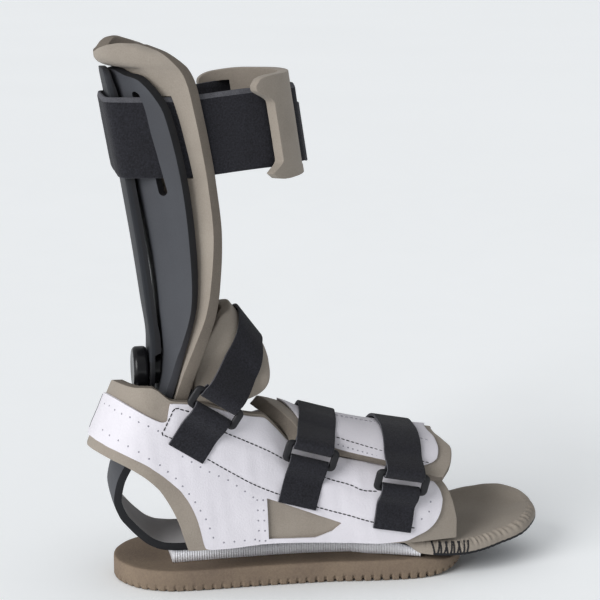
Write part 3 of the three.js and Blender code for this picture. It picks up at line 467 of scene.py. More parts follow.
xs = SOLE_HEEL_X + SOLE.long * (1 - np.cos(np.linspace(0, math.pi, 240))) / 2
near_side = np.stack([xs, -SOLE_ROWS.at("near", xs)], -1)
far_side = np.stack([xs, SOLE_ROWS.at("far", xs)], -1)
plan = np.concatenate([near_side, far_side[-2::-1]])
teeth = int(round(path_lengths(plan)[-1] / SOLE.pitch))
plan = even_steps(plan, SOLE_COUNT, closed=True)
for _ in range(SOLE_SOFTENING):
    plan = (np.roll(plan, 1, 0) + 2 * plan + np.roll(plan, -1, 0)) / 4
plan_out = outward(plan)
phase = np.arange(SOLE_COUNT) / SOLE_COUNT * teeth % 1
notch = ease(0.2 - np.abs(phase - 0.5), 0, 0.12) * (0.45 + 0.55 * ease(plan[:, 0], -60, 60))
SOLE_LEVELS = [
    # inset from the outline, height share of the side, and how deep the notches bite
    (3.4, 0.0, 1.0), (1.0, 0.0, 1.0), (0.3, 0.04, 1.0), (0.0, 0.1, 1.0), (0.0, 0.2, 1.0), (0.0, 0.26, 0.85),
    (0.0, 0.31, 0.2), (0.0, 0.34, 0.0), (0.0, 0.55, 0.0), (0.0, 0.8, 0.0), (0.15, 0.92, 0.0),
    (0.5, 0.98, 0.0), (1.2, 1.0, 0.0), (4.0, 1.0, 0.0),
]
loops = []
for inset, share, bite in SOLE_LEVELS:
    ring = plan - plan_out * (inset + bite * notch * SOLE.bite)[:, None]
    low, high = sole_rocker(ring[:, 0]), sole_top(ring[:, 0])
    tooth = bite * notch * (SOLE.tooth if share < 0.2 else 0.0)
    loops.append(xyz(ring[:, 0], ring[:, 1], low + (high - low) * share + tooth))
faces = ring_faces(len(loops), SOLE_COUNT) + caps(len(loops), SOLE_COUNT)
sole = add("outsole_detail", np.concatenate(loops), faces, [SOLE_LOOK], node="outsole")
smooth_edges(sole, 60)

# Frame of moulded plastic: calf shell, heel loop and foot plate

PLASTIC = 5.0
FRAME = Table("x z half sag", [
    [-130.9, 329.6, 6, 0.5], [-130.6, 328.5, 16, 3], [-129.6, 324.5, 27, 8], [-127.4, 318.5, 35, 15.4],
    [-125, 310, 39, 20.4], [-122, 298, 40.5, 24.2], [-115.6, 258, 41, 27.3], [-107.7, 216, 40, 23.9],
    [-103.6, 184, 38.5, 19], [-102, 160, 36, 10.6], [-101.2, 146, 33.5, 4.8], [-103, 130, 30.5, 1.8],
    [-108, 114, 28, 1], [-117, 98.5, 26, 0.8], [-127, 83.5, 25.2, 0.6], [-133.8, 69, 25, 0.5],
    [-135.6, 58, 25, 0.5], [-132, 46.8, 25, 0.5], [-126.6, 39.6, 25, 0.5], [-120.2, 32.8, 25, 0.5],
    [-112.6, 26.6, 25, 0.5], [-103.4, 23, 25, 0.5], [-92, 22, 24.5, 0.4], [-60, 22, 23, 0.3],
    [-20, 22, 22.5, 0.3], [14, 21.4, 25, 0.3], [40, 19, 32, 0.3], [60, 16.2, 39.5, 0.3],
    [80, 14.7, 42.6, 0.3], [98, 15.4, 41.6, 0.3], [116, 17.8, 36.4, 0.3], [130, 20.5, 28.4, 0.3],
    [139, 22.4, 20, 0.3], [145, 23.6, 12, 0.3], [147.6, 24.1, 6, 0.3],
])
legs = np.hypot(np.diff(FRAME.columns["x"]), np.diff(FRAME.columns["z"]))
FRAME.columns["s"] = np.concatenate([[0], np.cumsum(legs)])
FRAME.key = "s"
FRAME_END = FRAME.columns["s"][-1]
ROLL = Sizes(start=48.0, end=92.0, near=0.03, far=0.06, middle=12.0, cup=0.0034, least=0.55, full_from=76.0,
             full_to=104.0, toe_cup=0.0056, cup_from=84.0, cup_to=128.0, far_share=0.85)
FAR_TOE = Table("x half lift", [
    [60, 42, 0], [84, 44.8, -2.6], [105, 42, -4.4], [118, 37, -2.8], [128, 32, 0.4], [136.5, 26, 3.2],
    [144, 18, 4], [150, 9.4, 2.4], [153, 4, 0.5],
])


def rolled(p):
    """The foot plate tips and cups towards the toe, most on its far side."""
    x, y = p[..., 0], p[..., 1]
    cup = ROLL.cup * (ROLL.least + (1 - ROLL.least) * ease(x, ROLL.full_from, ROLL.full_to))
    cup = cup + ROLL.toe_cup * ease(x, ROLL.cup_from, ROLL.cup_to)
    slope = ROLL.near + (ROLL.far - ROLL.near) * ease(y, -ROLL.middle, ROLL.middle)
    rise = y * slope + np.maximum(y, 0) ** 2 * cup
    far = FAR_TOE.at("lift", x) * ease(y / FAR_TOE.at("half", x), 0, ROLL.far_share)
    p[..., 2] += rise * ease(x, ROLL.start, ROLL.end) + far
    return p


def frame_point(s, arc, offset):
    x, z, half, sag = (FRAME.at(c, s) for c in ("x", "z", "half", "sag"))
    dx = FRAME.at("x", s + 1.5) - FRAME.at("x", s - 1.5)
    dz = FRAME.at("z", s + 1.5) - FRAME.at("z", s - 1.5)
    size = np.hypot(dx, dz)
    radius = (half**2 + sag**2) / (2 * sag)
    angle = arc * np.arcsin(np.clip(half / radius, 0, 1))
    deep = radius - (radius - offset) * np.cos(angle)
    return rolled(xyz(x - dz / size * deep, (radius - offset) * np.sin(angle), z + dx / size * deep))


def frame_level(z):
    s = np.linspace(0, 300, 3001)
    return s[np.argmax(FRAME.at("z", s) <= z)]


SLOT = Sizes(arc=0.68, half=0.066, top=314.8, bottom=251.0, cap=3.2, past=4.0)
frame_s = np.unique(np.round(spans((0, 14, 12), (14, 290, 100), (290, 440, 70), (440, FRAME_END, 90)), 4))
arcs = np.linspace(-1, 1, 41)
SHELL_SIDE = Sizes(flat=0.49, bend=0.06, slant=0.055, narrow=110.0, end=150.0, fade=185.0)


def shell_point(s, arc, offset):
    """The frame with a flat back and flat sides at the calf, and with its edges cut on a slant."""
    calf = 1 - ease(s, SHELL_SIDE.end, SHELL_SIDE.fade)
    slant = SHELL_SIDE.slant * (1 - ease(s, SHELL_SIDE.narrow, SHELL_SIDE.fade))
    arc = arc * (1 - slant * (1 - offset / PLASTIC))
    half, sag = FRAME.at("half", s), FRAME.at("sag", s)
    radius = (half**2 + sag**2) / (2 * sag)
    angle = np.abs(arc) * np.arcsin(np.clip(half / radius, 0, 1))
    rise = (radius * np.sin(angle) / half - SHELL_SIDE.flat) / (1 - SHELL_SIDE.flat)
    side = sag * (rise + np.hypot(rise, SHELL_SIDE.bend)) / 2
    back = np.minimum(0, side - radius * (1 - np.cos(angle))) * calf
    p = frame_point(s, arc, offset)
    p[..., 0] += back
    return p


# The inner face is painted light, the cut edges painted shade
shell = wall("frame_shell_detail", frame_s, arcs, shell_point, 0.0, PLASTIC,
             [SHELL_LOOK, SHELL_INNER_LIT, SHELL_EDGE_SHADE, EDGE_SHADE_FADE], node="frame_shell", bevel=1.1)
apply_modifiers(shell)
slot_top, slot_bottom = frame_level(SLOT.top), frame_level(SLOT.bottom)
# The slots' cut walls take the shell edges' painted shade
for side in (-1, 1):
    turn = np.linspace(0, 2 * math.pi, 40, endpoint=False)
    middle = np.where(np.sin(turn) >= 0, slot_bottom - SLOT.cap, slot_top + SLOT.cap)
    slot_s = middle + SLOT.cap * np.sin(turn)
    slot_arc = side * (SLOT.arc + SLOT.half * np.cos(turn))
    ends = [frame_point(slot_s, slot_arc, depth) for depth in (-SLOT.past, PLASTIC + SLOT.past)]
    carve(shell, prism(ends, SHELL_EDGE_SHADE))
# Behind the ankle the shell's edges lose their painted shade, turning to a paler tone towards the bottom
FADE_ZONE = Sizes(front=-0.06, low=0.1, high=0.2)
for face in shell.data.polygons:
    rear = face.center.x < FADE_ZONE.front and FADE_ZONE.low < face.center.z < FADE_ZONE.high
    if face.material_index == 2 and rear:
        face.material_index = 3
smooth_edges(shell, 40)

# Ribbed filler between the sole and the foot plate

on_plate = (FRAME.columns["z"] < 30) & (FRAME.columns["x"] > -104)
PLATE = Table("x z half", list(zip(*(FRAME.columns[c][on_plate] for c in ("x", "z", "half")))))
FILLER = Sizes(start=-98.0, end=62.0, inset=1.2, gap=0.3, rib=1.6, depth=0.55, widest=36.0)
FACING = Sizes(start=20.0, end=62.5, proud=1.7, proud_to=30.0, rise=4.2, rise_from=24.0, rise_to=44.0,
               fall=2.4, fall_from=50.0, fall_to=66.0)
RIB_STEP = FILLER.rib / 6


def ribs(x):
    return np.abs(np.sin(math.pi * x / FILLER.rib)) * FILLER.depth


def filler_point(x, across, top):
    half = np.minimum(PLATE.at("half", x), FILLER.widest) - FILLER.inset - FILLER.depth + ribs(x)
    if top:
        return rolled(xyz(x, across * half, PLATE.at("z", x) - FILLER.gap))
    return xyz(x, across * half, SOLE.thick + FILLER.gap)


wall("ribbed_filler_detail", np.arange(FILLER.start, FILLER.end, RIB_STEP), np.array([-1, -0.4, 0.4, 1]),
     filler_point, True, False, [RIB_LOOK] * 3, node="ribbed_filler")


def facing_point(x, share, offset):
    """The ribs carried forward over the near edge of the foot plate."""
    proud = FACING.proud * ease(x, FACING.start, FACING.proud_to)
    y = -(PLATE.at("half", x) - FILLER.inset + proud + offset + ribs(x))
    rise = FACING.rise * ease(x, FACING.rise_from, FACING.rise_to)
    fall = FACING.fall * ease(x, FACING.fall_from, FACING.fall_to)
    low = sole_top(x) + FILLER.gap
    top = rolled(xyz(x, y, PLATE.at("z", x) - FILLER.gap + rise - fall))
    return xyz(x, y, low + (top[..., 2] - low) * share)


wall("ribbed_facing", np.arange(FACING.start, FACING.end, RIB_STEP), np.array([0.0, 0.5, 1.0]),
     facing_point, 0.2, -0.6, [RIB_LOOK] * 3)

# Foot bed: foam cover of the plate, turned down and gathered round the toe

BED = Sizes(thick=3.2, gap=0.8, curl=6.8, plain=50.0, full=62.0, fuller=0.16, fuller_from=116.0,
            fuller_to=142.0, tip=145.0, tip_slope=0.2)
GATHER = Sizes(high=0.9, pitch=4.2, middle=80.0, radius=58.0, least=0.35, start=84.0, full=104.0,
               far_from=-6.0, far_to=8.0)
BED_ROWS = Table("x half", [
    [-84, 24], [-60, 33], [-30, 34.5], [0, 36], [30, 38.5], [56, 41.2], [64, 43.6], [74, 44.8], [90, 44.8],
    [106, 41.8], [122, 35.6], [131, 30.2], [138.5, 24], [145, 16.8], [149, 11], [151.2, 6.4], [152.1, 2.8],
    [152.5, 0.4],
])
bed_x = spans((-84, 48, 40), (49, 138, 160), (138.5, 152.5, 40))


def bed_half(x, side):
    """Half width, with the near side fuller towards the tip."""
    fuller = BED.fuller * ease(x, BED.fuller_from, BED.fuller_to) * (np.asarray(side) < 0)
    return BED_ROWS.at("half", x) * (1 + fuller)


near_edge = np.stack([bed_x, -bed_half(bed_x, -1)], -1)
far_edge = np.stack([bed_x, bed_half(bed_x, 1)], -1)
outline = np.concatenate([near_edge, far_edge[::-1]])


def bed_height(x):
    tip = np.maximum(0, x - BED.tip) * BED.tip_slope
    return PLATE.at("z", np.minimum(x, BED.tip)) + tip + PLASTIC + BED.gap + BED.thick


def bed_point(x, across, offset):
    """The cover turns down within a curl's width of the outline, and puckers there."""
    half = bed_half(x, across)
    y = np.sin(across * math.pi / 2) * half
    flat = np.stack([x, y], -1)
    away = np.full(x.shape, 99.0)
    for a, b in zip(outline[:-1], outline[1:]):
        run = b - a
        t = np.clip(((flat - a) @ run) / (run @ run), 0, 1)
        away = np.minimum(away, np.linalg.norm(flat - a - t[..., None] * run, axis=-1))
    turn = ease(x, BED.plain, BED.full)
    reach = np.clip(1 - away / BED.curl, 0, 1)
    drop = BED.curl * (1 - np.sqrt(np.maximum(0, 1 - reach**2))) * turn
    around = np.arctan2(y, x - GATHER.middle) * GATHER.radius / GATHER.pitch * 2 * math.pi
    full = GATHER.least + (1 - GATHER.least) * ease(x, GATHER.start, GATHER.full)
    gather = GATHER.high * full * (0.65 + 0.35 * np.sin(around * 0.37))
    gather = gather * (1 - ease(y, GATHER.far_from, GATHER.far_to))
    band = ease(reach, 0.02, 0.3) * (1 - 0.8 * ease(reach, 0.72, 1.0))
    pucker = gather * band * turn * np.sin(around + 0.8 * np.sin(around * 0.21))
    thin = 1 - 0.5 * turn * ease(reach, 0.3, 1.0)
    p = xyz(x, y, bed_height(x) - drop + pucker + 0.2 * ripple(xyz(x, y, 0), 34, 5) + offset * thin)
    return rolled(p)


# The bed's underside and its turned-down edge near the toe take the near-black shell edge look, for the
# plate's dark edge and painted shade under the curl; further back the edge is plain foam
bed = wall("foot_bed_detail", bed_x, np.linspace(-1, 1, 100), bed_point, 0.0, -BED.thick,
           [FOAM_LOOK, SHELL_EDGE_SHADE, SHELL_EDGE_SHADE], node="foot_bed", padded=0.9, bevel=0.7)
BED_SHADE_FROM = 0.069
for face in bed.data.polygons:
    if face.material_index == 2 and face.center.x < BED_SHADE_FROM:
        face.material_index = 0

# Calf liner of foam, flared over the shell's rim

LINER = 8.0
LINER_ROWS = Table("z back front half", [
    [113, -101, -98.4, 28.4], [121, -98.2, -97, 31.2], [130, -95.8, -94.6, 33.6], [140, -94.4, -91.6, 36.4],
    [149, -94, -88, 37.4], [163, -95, -82.4, 38], [179, -96.6, -76.6, 38.6], [194, -98, -74, 39.2],
    [228, -103.4, -71.5, 40], [258, -109, -74.8, 40], [289, -114, -79.5, 40.5], [310, -118.4, -84, 41.5],
    [320, -121.2, -86.6, 42.6], [327, -123.6, -89.4, 43.3], [330.8, -126, -91.8, 43.7],
    [331.8, -132.5, -92.7, 44], [334.6, -137.2, -96, 44.2], [339, -139.4, -103.4, 43.6],
    [343.2, -139.8, -117, 40.5],
])
LINER_RIM = Sizes(upright=0.1, start=331.0, end=343.0)
LINER_FLANK = Table("z back", [
    [113, 0], [320, 0], [324, -0.8], [328, -3.2], [330.8, -4.8], [331.8, 0.7], [334.6, 1.4], [339, 0.4],
    [343.2, 0],
])
RIM_ROWS = Table("t rise", [
    [-1, 3.3], [-0.7, 3.2], [-0.5, 2.1], [-0.3, 0], [0, -3.2], [0.15, -2.4], [0.3, -1.5], [0.45, 1.8],
    [0.6, 4.1], [0.75, 4.7], [1, 2.8],
])
RIM_DIPS = Table("t dip", [
    [-1, 2.6], [-0.85, 2], [-0.7, 1], [-0.5, 0], [0.6, 0.4], [0.75, 2.2], [0.9, 5], [1, 5.6],
])
LINER_PATH = Sizes(radius=32.0, turn=64.0, flare=17.0, flare_turn=40.0, parts=200)
arc_length = LINER_PATH.radius * math.radians(LINER_PATH.turn)
path_length = arc_length + LINER_PATH.flare
path_s = (np.arange(LINER_PATH.parts) + 0.5) / LINER_PATH.parts * path_length
path_turn = np.where(
    path_s < arc_length, path_s / LINER_PATH.radius,
    np.radians(LINER_PATH.turn + (LINER_PATH.flare_turn - LINER_PATH.turn)
               * (path_s - arc_length) / LINER_PATH.flare))
path_x = np.concatenate([[0], np.cumsum(np.sin(path_turn))])
path_y = np.concatenate([[0], np.cumsum(np.cos(path_turn))])
path_x, path_y = path_x / path_x[-1], path_y / path_y[-1]
path_t = np.linspace(0, 1, LINER_PATH.parts + 1)
LINER_LOW, LINER_HIGH = 113.0, 343.2


def liner_skin(t, z):
    back, front, half = (LINER_ROWS.at(c, z) for c in ("back", "front", "half"))
    across = np.abs(t)
    back = back + LINER_FLANK.at("back", z) * ease(across, 0.45, 0.65)
    rise = RIM_ROWS.at("rise", t) * ease(z, LINER_RIM.start, LINER_RIM.end)
    return xyz(back + (front - back) * np.interp(across, path_t, path_x),
               np.sign(t) * half * np.interp(across, path_t, path_y), z + rise)


def liner_point(t, z, offset):
    step = 0.02
    side = liner_skin(np.minimum(t + step, 1), z) - liner_skin(np.maximum(t - step, -1), z)
    up = liner_skin(t, np.minimum(z + 1, LINER_HIGH)) - liner_skin(t, np.maximum(z - 1, LINER_LOW))
    inward = unit(np.cross(up, side))
    inward = unit(inward * np.sign(inward[..., :1]) * (1, 1, LINER_RIM.upright))
    p = liner_skin(t, z)
    dip = RIM_DIPS.at("dip", t) * ease(z, LINER_RIM.start, LINER_RIM.end) * offset / LINER
    return p + inward * (offset + 0.3 * ripple(p, 45, 9))[..., None] - xyz(0, 0, dip)


liner_z = spans((LINER_LOW, 310, 80), (312, 330.6, 12), (331, LINER_HIGH, 22))
liner = wall("calf_liner_detail", np.linspace(-1, 1, 57), liner_z, liner_point, 0.0, LINER, FOAM_WALL,
             node="calf_liner", padded=1.0, bevel=1.5)
apply_modifiers(liner)

# Calf strap: a whole loop through the shell's slots and round the shin pad

CALF = Sizes(thick=3.4, width=49.5, rear=289.0, front=294.0, gap=0.45, room=0.5, lip=3.6, trim=3.0)
PAD = Sizes(x=-62.0, radius=49.0, thick=7.0, start=-50.0, end=94.0, near=-6.5, far=77.0, slit=10.0, tilt=0.06,
            level=-40.0, half=32.0, horn=15.0, horn_in=4.0, corner=12.0, trim=0.16, room=1.2, far_room=-0.2)
LEAN = Sizes(rear=0.17, front=0.155, rear_x=-130.0, front_x=-12.0, climb_from=-95.0, climb_to=-35.0)


def pad_arc(degrees, radius):
    a = np.radians(degrees)
    return xyz(PAD.x + radius * np.cos(a), radius * np.sin(a), 0)


def leaned(x, y, rise):
    share = np.clip((x - LEAN.rear_x) / (LEAN.front_x - LEAN.rear_x), 0, 1)
    lean = LEAN.rear + (LEAN.front - LEAN.rear) * share
    climb = CALF.rear + (CALF.front - CALF.rear) * ease(x, LEAN.climb_from, LEAN.climb_to)
    return xyz(x - lean * rise, y, climb + rise)


OVER = PAD.radius + CALF.gap + CALF.thick / 2
UNDER = PAD.radius - PAD.thick - 2 * CALF.gap - CALF.thick / 2
REAR_ROUTE = [
    (-130.9, 9), (-130.7, 21), (-128.7, 26.2), (-120, 28.2), (-111.5, 29), (-104, 29.8), (-96, 30.6),
    (-88, 31), (-78, 31.6),
]
PAD_ROUTE = [
    # degrees round the pad, and the strap's radius there
    (-43.5, UNDER), (-30, UNDER), (-20, UNDER), (-12.5, UNDER + 1), (-0.5, OVER - 1), (6.5, OVER), (20, OVER),
    (35, OVER), (50, OVER), (64, OVER), (71, OVER - 1), (83, UNDER + 1), (90, UNDER),
]
route = [(x, -y, 0) for x, y in REAR_ROUTE] + [(-66, -31.6, 0), (-51, -31.4, 0)]
route += [tuple(pad_arc(degrees, radius)) for degrees, radius in PAD_ROUTE]
route += [(-66, 37.6, 0)] + [(x, y, 0) for x, y in reversed(REAR_ROUTE)]
RING_COUNT, RING_END, STRAP_COUNT = 700, 120, 300
ring = curve_through(route[-3:] + route + route[:3], RING_COUNT)
away = np.linalg.norm(ring - np.array(route[0]), axis=1)
first = np.argmin(away[:RING_END])
last = RING_COUNT - RING_END + np.argmin(away[-RING_END:])
loop_line = even_steps(np.vstack([ring[first:last], ring[first:first + 1]]), STRAP_COUNT, closed=True)
loop_way = unit(np.roll(loop_line, -1, 0) - np.roll(loop_line, 1, 0))


def strap_point(i, rise, offset):
    k = np.asarray(i, int) % STRAP_COUNT
    here, way = loop_line[k], loop_way[k]
    return leaned(here[..., 0] + way[..., 1] * offset, here[..., 1] - way[..., 0] * offset, rise)


half_width = CALF.width / 2
strap_index = np.arange(STRAP_COUNT)


def strap_face(i, rise, offset):
    """The strap thinned towards its edges and slightly waved."""
    thin = ease(np.abs(rise), half_width - CALF.lip, half_width) ** 1.5
    p = strap_point(i, rise, offset * (1 - 0.5 * thin))
    return p + (0.18 * ripple(p, 16, 21))[..., None] * (offset / CALF.thick)


lip = np.linspace(half_width - CALF.lip, half_width, 7)
strap_rises = np.concatenate([-lip[::-1], np.linspace(-half_width + 5, half_width - 5, 20), lip])
# The top rows of the strap's outer face take the paler edge look, a painted highlight on its thick top edge
wall("calf_strap_detail", strap_index, strap_rises, strap_face, CALF.thick / 2, -CALF.thick / 2,
     STRAP_WALL, loop=True, trim=lambda i, rise: rise > half_width - CALF.trim, node="calf_strap", bevel=0.5)
room = CALF.thick / 2 + CALF.room
tool_rises = np.linspace(-half_width - 0.6, half_width + 0.6, 6)
points, faces, _ = grid_wall(strap_index, tool_rises, strap_point, room, -room, loop=True)
# The slot's cut walls in the liner take the foam edges' painted shade
carve(liner, solid("tool", points, faces, [FOAM_EDGE_SHADE]))
smooth_edges(liner, 50)

# Shin pad with a slit near each end

slit_low, slit_high = half_width + PAD.room, half_width + PAD.far_room
pad_rises = np.unique(spans((-PAD.half, -slit_low, 8), (-slit_low, slit_high, 33), (slit_low, PAD.half, 8)))
slits = [middle + side * PAD.slit for middle in (PAD.near, PAD.far) for side in (-1, 1)]
pad_ends = [PAD.start, *slits, PAD.end]
pad_degrees = np.unique(spans(*zip(pad_ends[:-1], pad_ends[1:], (9, 9, 40, 9, 8))))


def pad_point(degrees, rise, offset):
    """The pad's near end reaches round the strap in two lips, and both ends have round corners."""
    lip = ease(np.abs(rise) + 0.1 * rise, half_width - PAD.horn_in, PAD.half)
    horn = PAD.horn * lip * (1 - ease(degrees, PAD.start, slits[0]))
    p = pad_arc(degrees - horn, PAD.radius - offset)
    end = np.minimum(degrees - PAD.start, PAD.end - degrees) * math.radians(1) * PAD.radius
    corner = np.clip(1 - end / PAD.corner, 0, 1)
    trimmed = rise * (1 - PAD.trim * (1 - np.sqrt(np.maximum(0, 1 - corner**2))))
    tilt = (p[..., 0] - PAD.level) * PAD.tilt * ease(np.abs(rise), half_width, PAD.half)
    q = leaned(p[..., 0], p[..., 1], trimmed + tilt)
    return q + (0.2 * ripple(q, 40, 31))[..., None]


def in_slit(degrees, rise):
    near = (degrees > slits[0]) & (degrees < slits[1])
    far = (degrees > slits[2]) & (degrees < slits[3])
    return (near & (np.abs(rise) < slit_low)) | (far & (rise > -slit_low) & (rise < slit_high))


wall("shin_pad_detail", pad_degrees, pad_rises, pad_point, 0.0, PAD.thick, [FOAM_LOOK] * 3, hole=in_slit,
     node="shin_pad", padded=1.0, bevel=1.3)

TAB = Sizes(start=9.0, end=58.0, bottom=-26.0, top=12.0, thick=2.4)


def calf_tab_point(degrees, rise, offset):
    p = pad_arc(degrees, PAD.radius + 2 * CALF.gap + CALF.thick + offset)
    return leaned(p[..., 0], p[..., 1], rise)


wall("calf_strap_tab_detail", np.linspace(TAB.start, TAB.end, 50), np.linspace(TAB.bottom, TAB.top, 14),
     calf_tab_point, TAB.thick, 0.0, STRAP_WALL, node="calf_strap_tab", bevel=0.8)

# Anti-rotation bar and its pivot knob

BAR = 3.3
BAR_STIFF = Sizes(extra=2.7, start=148.8, full=151.0, low=160.0, slit=170.0, fall=262.0, end=290.0, clear=0.6,
                  round=1.4, least=0.8, black=143.0)
BAR_ROWS = Table("z x half", [
    [123.6, -109.6, 3], [124.6, -109.6, 7], [126.5, -109.6, 10], [131, -109.6, 12.8], [138, -109.6, 13.8],
    [156, -109.2, 13.8], [182, -112.1, 18], [215, -116.4, 21.5], [260, -123.4, 23], [300, -130, 23],
    [318, -133.2, 22.5], [326, -134.8, 20.8], [329.2, -135.4, 17.5], [330.2, -135.6, 14],
])
bar_z = spans((123.6, 131, 12), (133, 148.6, 9), (BAR_STIFF.start, 318, 90), (319, 330.2, 18))
bar_x, bar_half = BAR_ROWS.at("x", bar_z), BAR_ROWS.at("half", bar_z)
calf_rows = FRAME.columns["z"] > 100


def shell_back(z):
    return np.interp(z, FRAME.columns["z"][calf_rows][::-1], FRAME.columns["x"][calf_rows][::-1])


bar_room = shell_back(bar_z) - bar_x - BAR_STIFF.clear
low_part = 1 - ease(bar_z, BAR_STIFF.low, BAR_STIFF.slit)
high_part = ease(bar_z, BAR_STIFF.fall, BAR_STIFF.end)
bar_stiff = BAR + BAR_STIFF.extra
bar_stiff = bar_stiff + np.maximum(0, bar_room - bar_stiff) * (low_part + high_part)
bar_thick = BAR + (np.minimum(bar_stiff, bar_room) - BAR) * ease(bar_z, BAR_STIFF.start, BAR_STIFF.full)
grey = np.minimum(BAR, bar_thick - BAR_STIFF.least)
bend = BAR_STIFF.round
corner = [(bend * (1 - math.sin(a)), bend * (1 - math.cos(a))) for a in np.radians((0, 22, 45, 67, 90))]
profile = [(inset, depth, 0.0, 0.0) for inset, depth in corner] + [(0, 0, 1.0, 0.0), (0, 0, 0.0, 1.0)]
profile = [(-1, *row) for row in profile] + [(1, *row) for row in profile[::-1]]
sections = []
for side, inset, depth, to_grey, to_front in profile:
    deep = depth + to_grey * grey + to_front * bar_thick
    sections.append(xyz(bar_x + deep, side * (bar_half - inset), bar_z))
sides, levels = len(profile), len(bar_z)
BLACK_SIDES = (5, 6, 7)
# Painted shade: below a height the whole bar takes the black look, for the shadow on its lower end beside the
# knob
kinds = []
for z in bar_z[:-1]:
    kinds += [1 if i in BLACK_SIDES or z < BAR_STIFF.black else 0 for i in range(sides)]
bar = add("anti_rotation_bar_detail", np.stack(sections, 1).reshape(-1, 3),
          ring_faces(levels, sides) + caps(levels, sides), [BAR_LOOK, RING_LOOK], kinds + [1, 0],
          node="anti_rotation_bar")
smooth_edges(bar, 40)

KNOB = Sizes(radius=14.3, thick=9.5, z=138.0, shank=3.6, gap=0.45, washer=10.4, washer_thick=1.7, front=3.0,
             rear=2.5)
KNOB_SIDES = 64
back = KNOB.thick + 2 * KNOB.gap + BAR
profile = [(0, 0.7), (5, 0.6), (9, 0.3), (11.2, 0.05)]
for a in np.linspace(0.1, math.pi / 2, 8):
    bend = KNOB.front
    profile.append((KNOB.radius - bend + bend * math.sin(a), bend - bend * math.cos(a)))
for a in np.linspace(0, math.pi / 2, 8):
    bend = KNOB.rear
    profile.append((KNOB.radius - bend + bend * math.cos(a), KNOB.thick - bend + bend * math.sin(a)))
profile += [(KNOB.shank, KNOB.thick), (KNOB.shank, back), (KNOB.washer, back),
            (KNOB.washer, back + KNOB.washer_thick), (0, back + KNOB.washer_thick)]
knob_x = float(BAR_ROWS.at("x", KNOB.z)) - KNOB.gap - KNOB.thick
points = []
for radius, depth in profile:
    a = np.arange(KNOB_SIDES) / KNOB_SIDES * 2 * math.pi
    ring = xyz(knob_x + depth, radius * np.cos(a), KNOB.z + radius * np.sin(a))
    if depth > back:
        ring[:, 0] = shell_back(ring[:, 2]) - BAR_STIFF.clear
    points.append(ring)
knob = add("pivot_knob_detail", np.concatenate(points), ring_faces(len(profile), KNOB_SIDES), [KNOB_LOOK],
           node="pivot_knob")
smooth_edges(knob, 40)

# Foot upper: foam wall, white cover and the form they follow

FLOOR, ROUND, FOAM, VINYL = 26.0, 0.8, 6.0, 1.4
FOOT_ROWS = [
    [-20, 44.5, 74], [-5, 45, 67], [17, 46, 62.5], [37, 46.5, 58], [55, 45.5, 55], [71, 43.5, 52.5],
]
ANKLE_ROWS = [
    [-108, 42, 190], [-85, 43.5, 178], [-65, 44, 150], [-50, 44, 122], [-40, 44, 104], [-30, 44.2, 86],
]
FORM = Table("x half arch", ANKLE_ROWS + FOOT_ROWS + [[88, 41, 50]])
VAMP_FORM = Table("x half arch", [[-42, 43, 80], [-30, 44, 77.5]] + FOOT_ROWS + [[90, 41, 50]])


def form_reach(rows, x, z, offset):
    share = np.clip((z - FLOOR) / (rows.at("arch", x) + offset), 0, 1)
    return (rows.at("half", x) + offset) * (1 - share ** (2 / ROUND)) ** (ROUND / 2)


REAR = Sizes(x=-108.0, turn=100.0, depth=24.5, slant=0.42, from_z=130.0, widest=90.0)
UPPER = Table("run top bottom cover_top cover_bottom", [
    [-194, 38, 25, 52.4, 51.6], [-192, 48, 25, 52.4, 51.6], [-189, 57, 25, 52.4, 51.6],
    [-184, 63.8, 25, 52.4, 51.6], [-183.4, 64.3, 25, 55.5, 48], [-182, 65.3, 25, 59, 43.5],
    [-179, 66.8, 25, 62.8, 38], [-176, 68, 25, 65.4, 35], [-172, 69.4, 25, 67.6, 32.4],
    [-166, 71.2, 25, 69.8, 30], [-158, 73.2, 25.3, 72, 27.2], [-143, 76.5, 26.2, 75.3, 26.7],
    [-123, 81, 27.6, 79.8, 28.1], [-103, 85.5, 29, 84.2, 29.5], [-86, 93.5, 29.8, 92, 30.3],
    [-76, 104, 30, 102.5, 30.5], [-68, 111.5, 30, 110, 30.5], [-60, 113.5, 29.6, 112.2, 30.1],
    [-48, 117, 28.8, 115.8, 29.3], [-33, 122, 28.3, 120.8, 28.8], [-29, 123, 28.2, 121.9, 29.6],
    [-28, 123.2, 28.2, 122.1, 31], [-26, 123.5, 28.2, 122.4, 39.2], [-24, 123.8, 28.2, 122.7, 47.2],
    [-21, 124, 28.2, 123, 55.2], [-18, 124.3, 28.4, 123.3, 61.2], [-17, 124.4, 31, 123.4, 62.8],
    [-15, 124.6, 37.2, 123.6, 65.8], [-13, 124.8, 43.8, 123.8, 68.6], [-10, 125.2, 51.5, 124, 71.5],
    [-8, 125.8, 55.7, 124, 73.3], [-6.6, 126.7, 58.4, 118.5, 74.6], [-5.6, 127.5, 60.2, 113, 75.4],
    [-3, 129.8, 64.6, 112.5, 77.8], [0, 132.3, 69, 113.4, 80.2], [5, 133.8, 75.2, 115.8, 85],
    [10, 133.8, 79.6, 118.2, 88.5], [15, 133.5, 82.9, 120.4, 91.2], [20, 133.1, 85.4, 122, 93.3],
    [27, 133, 87.8, 123.6, 95.3], [34, 132.8, 89.4, 124.2, 96.6], [42, 132.2, 90, 124, 97],
    [50, 131.2, 89.6, 123, 96.6],
])
FAR = Sizes(drop=20.0, drop_from=48.0, drop_to=80.0, low=96.0, high=116.0, lift=9.5, lift_from=45.0,
            lift_to=85.0)


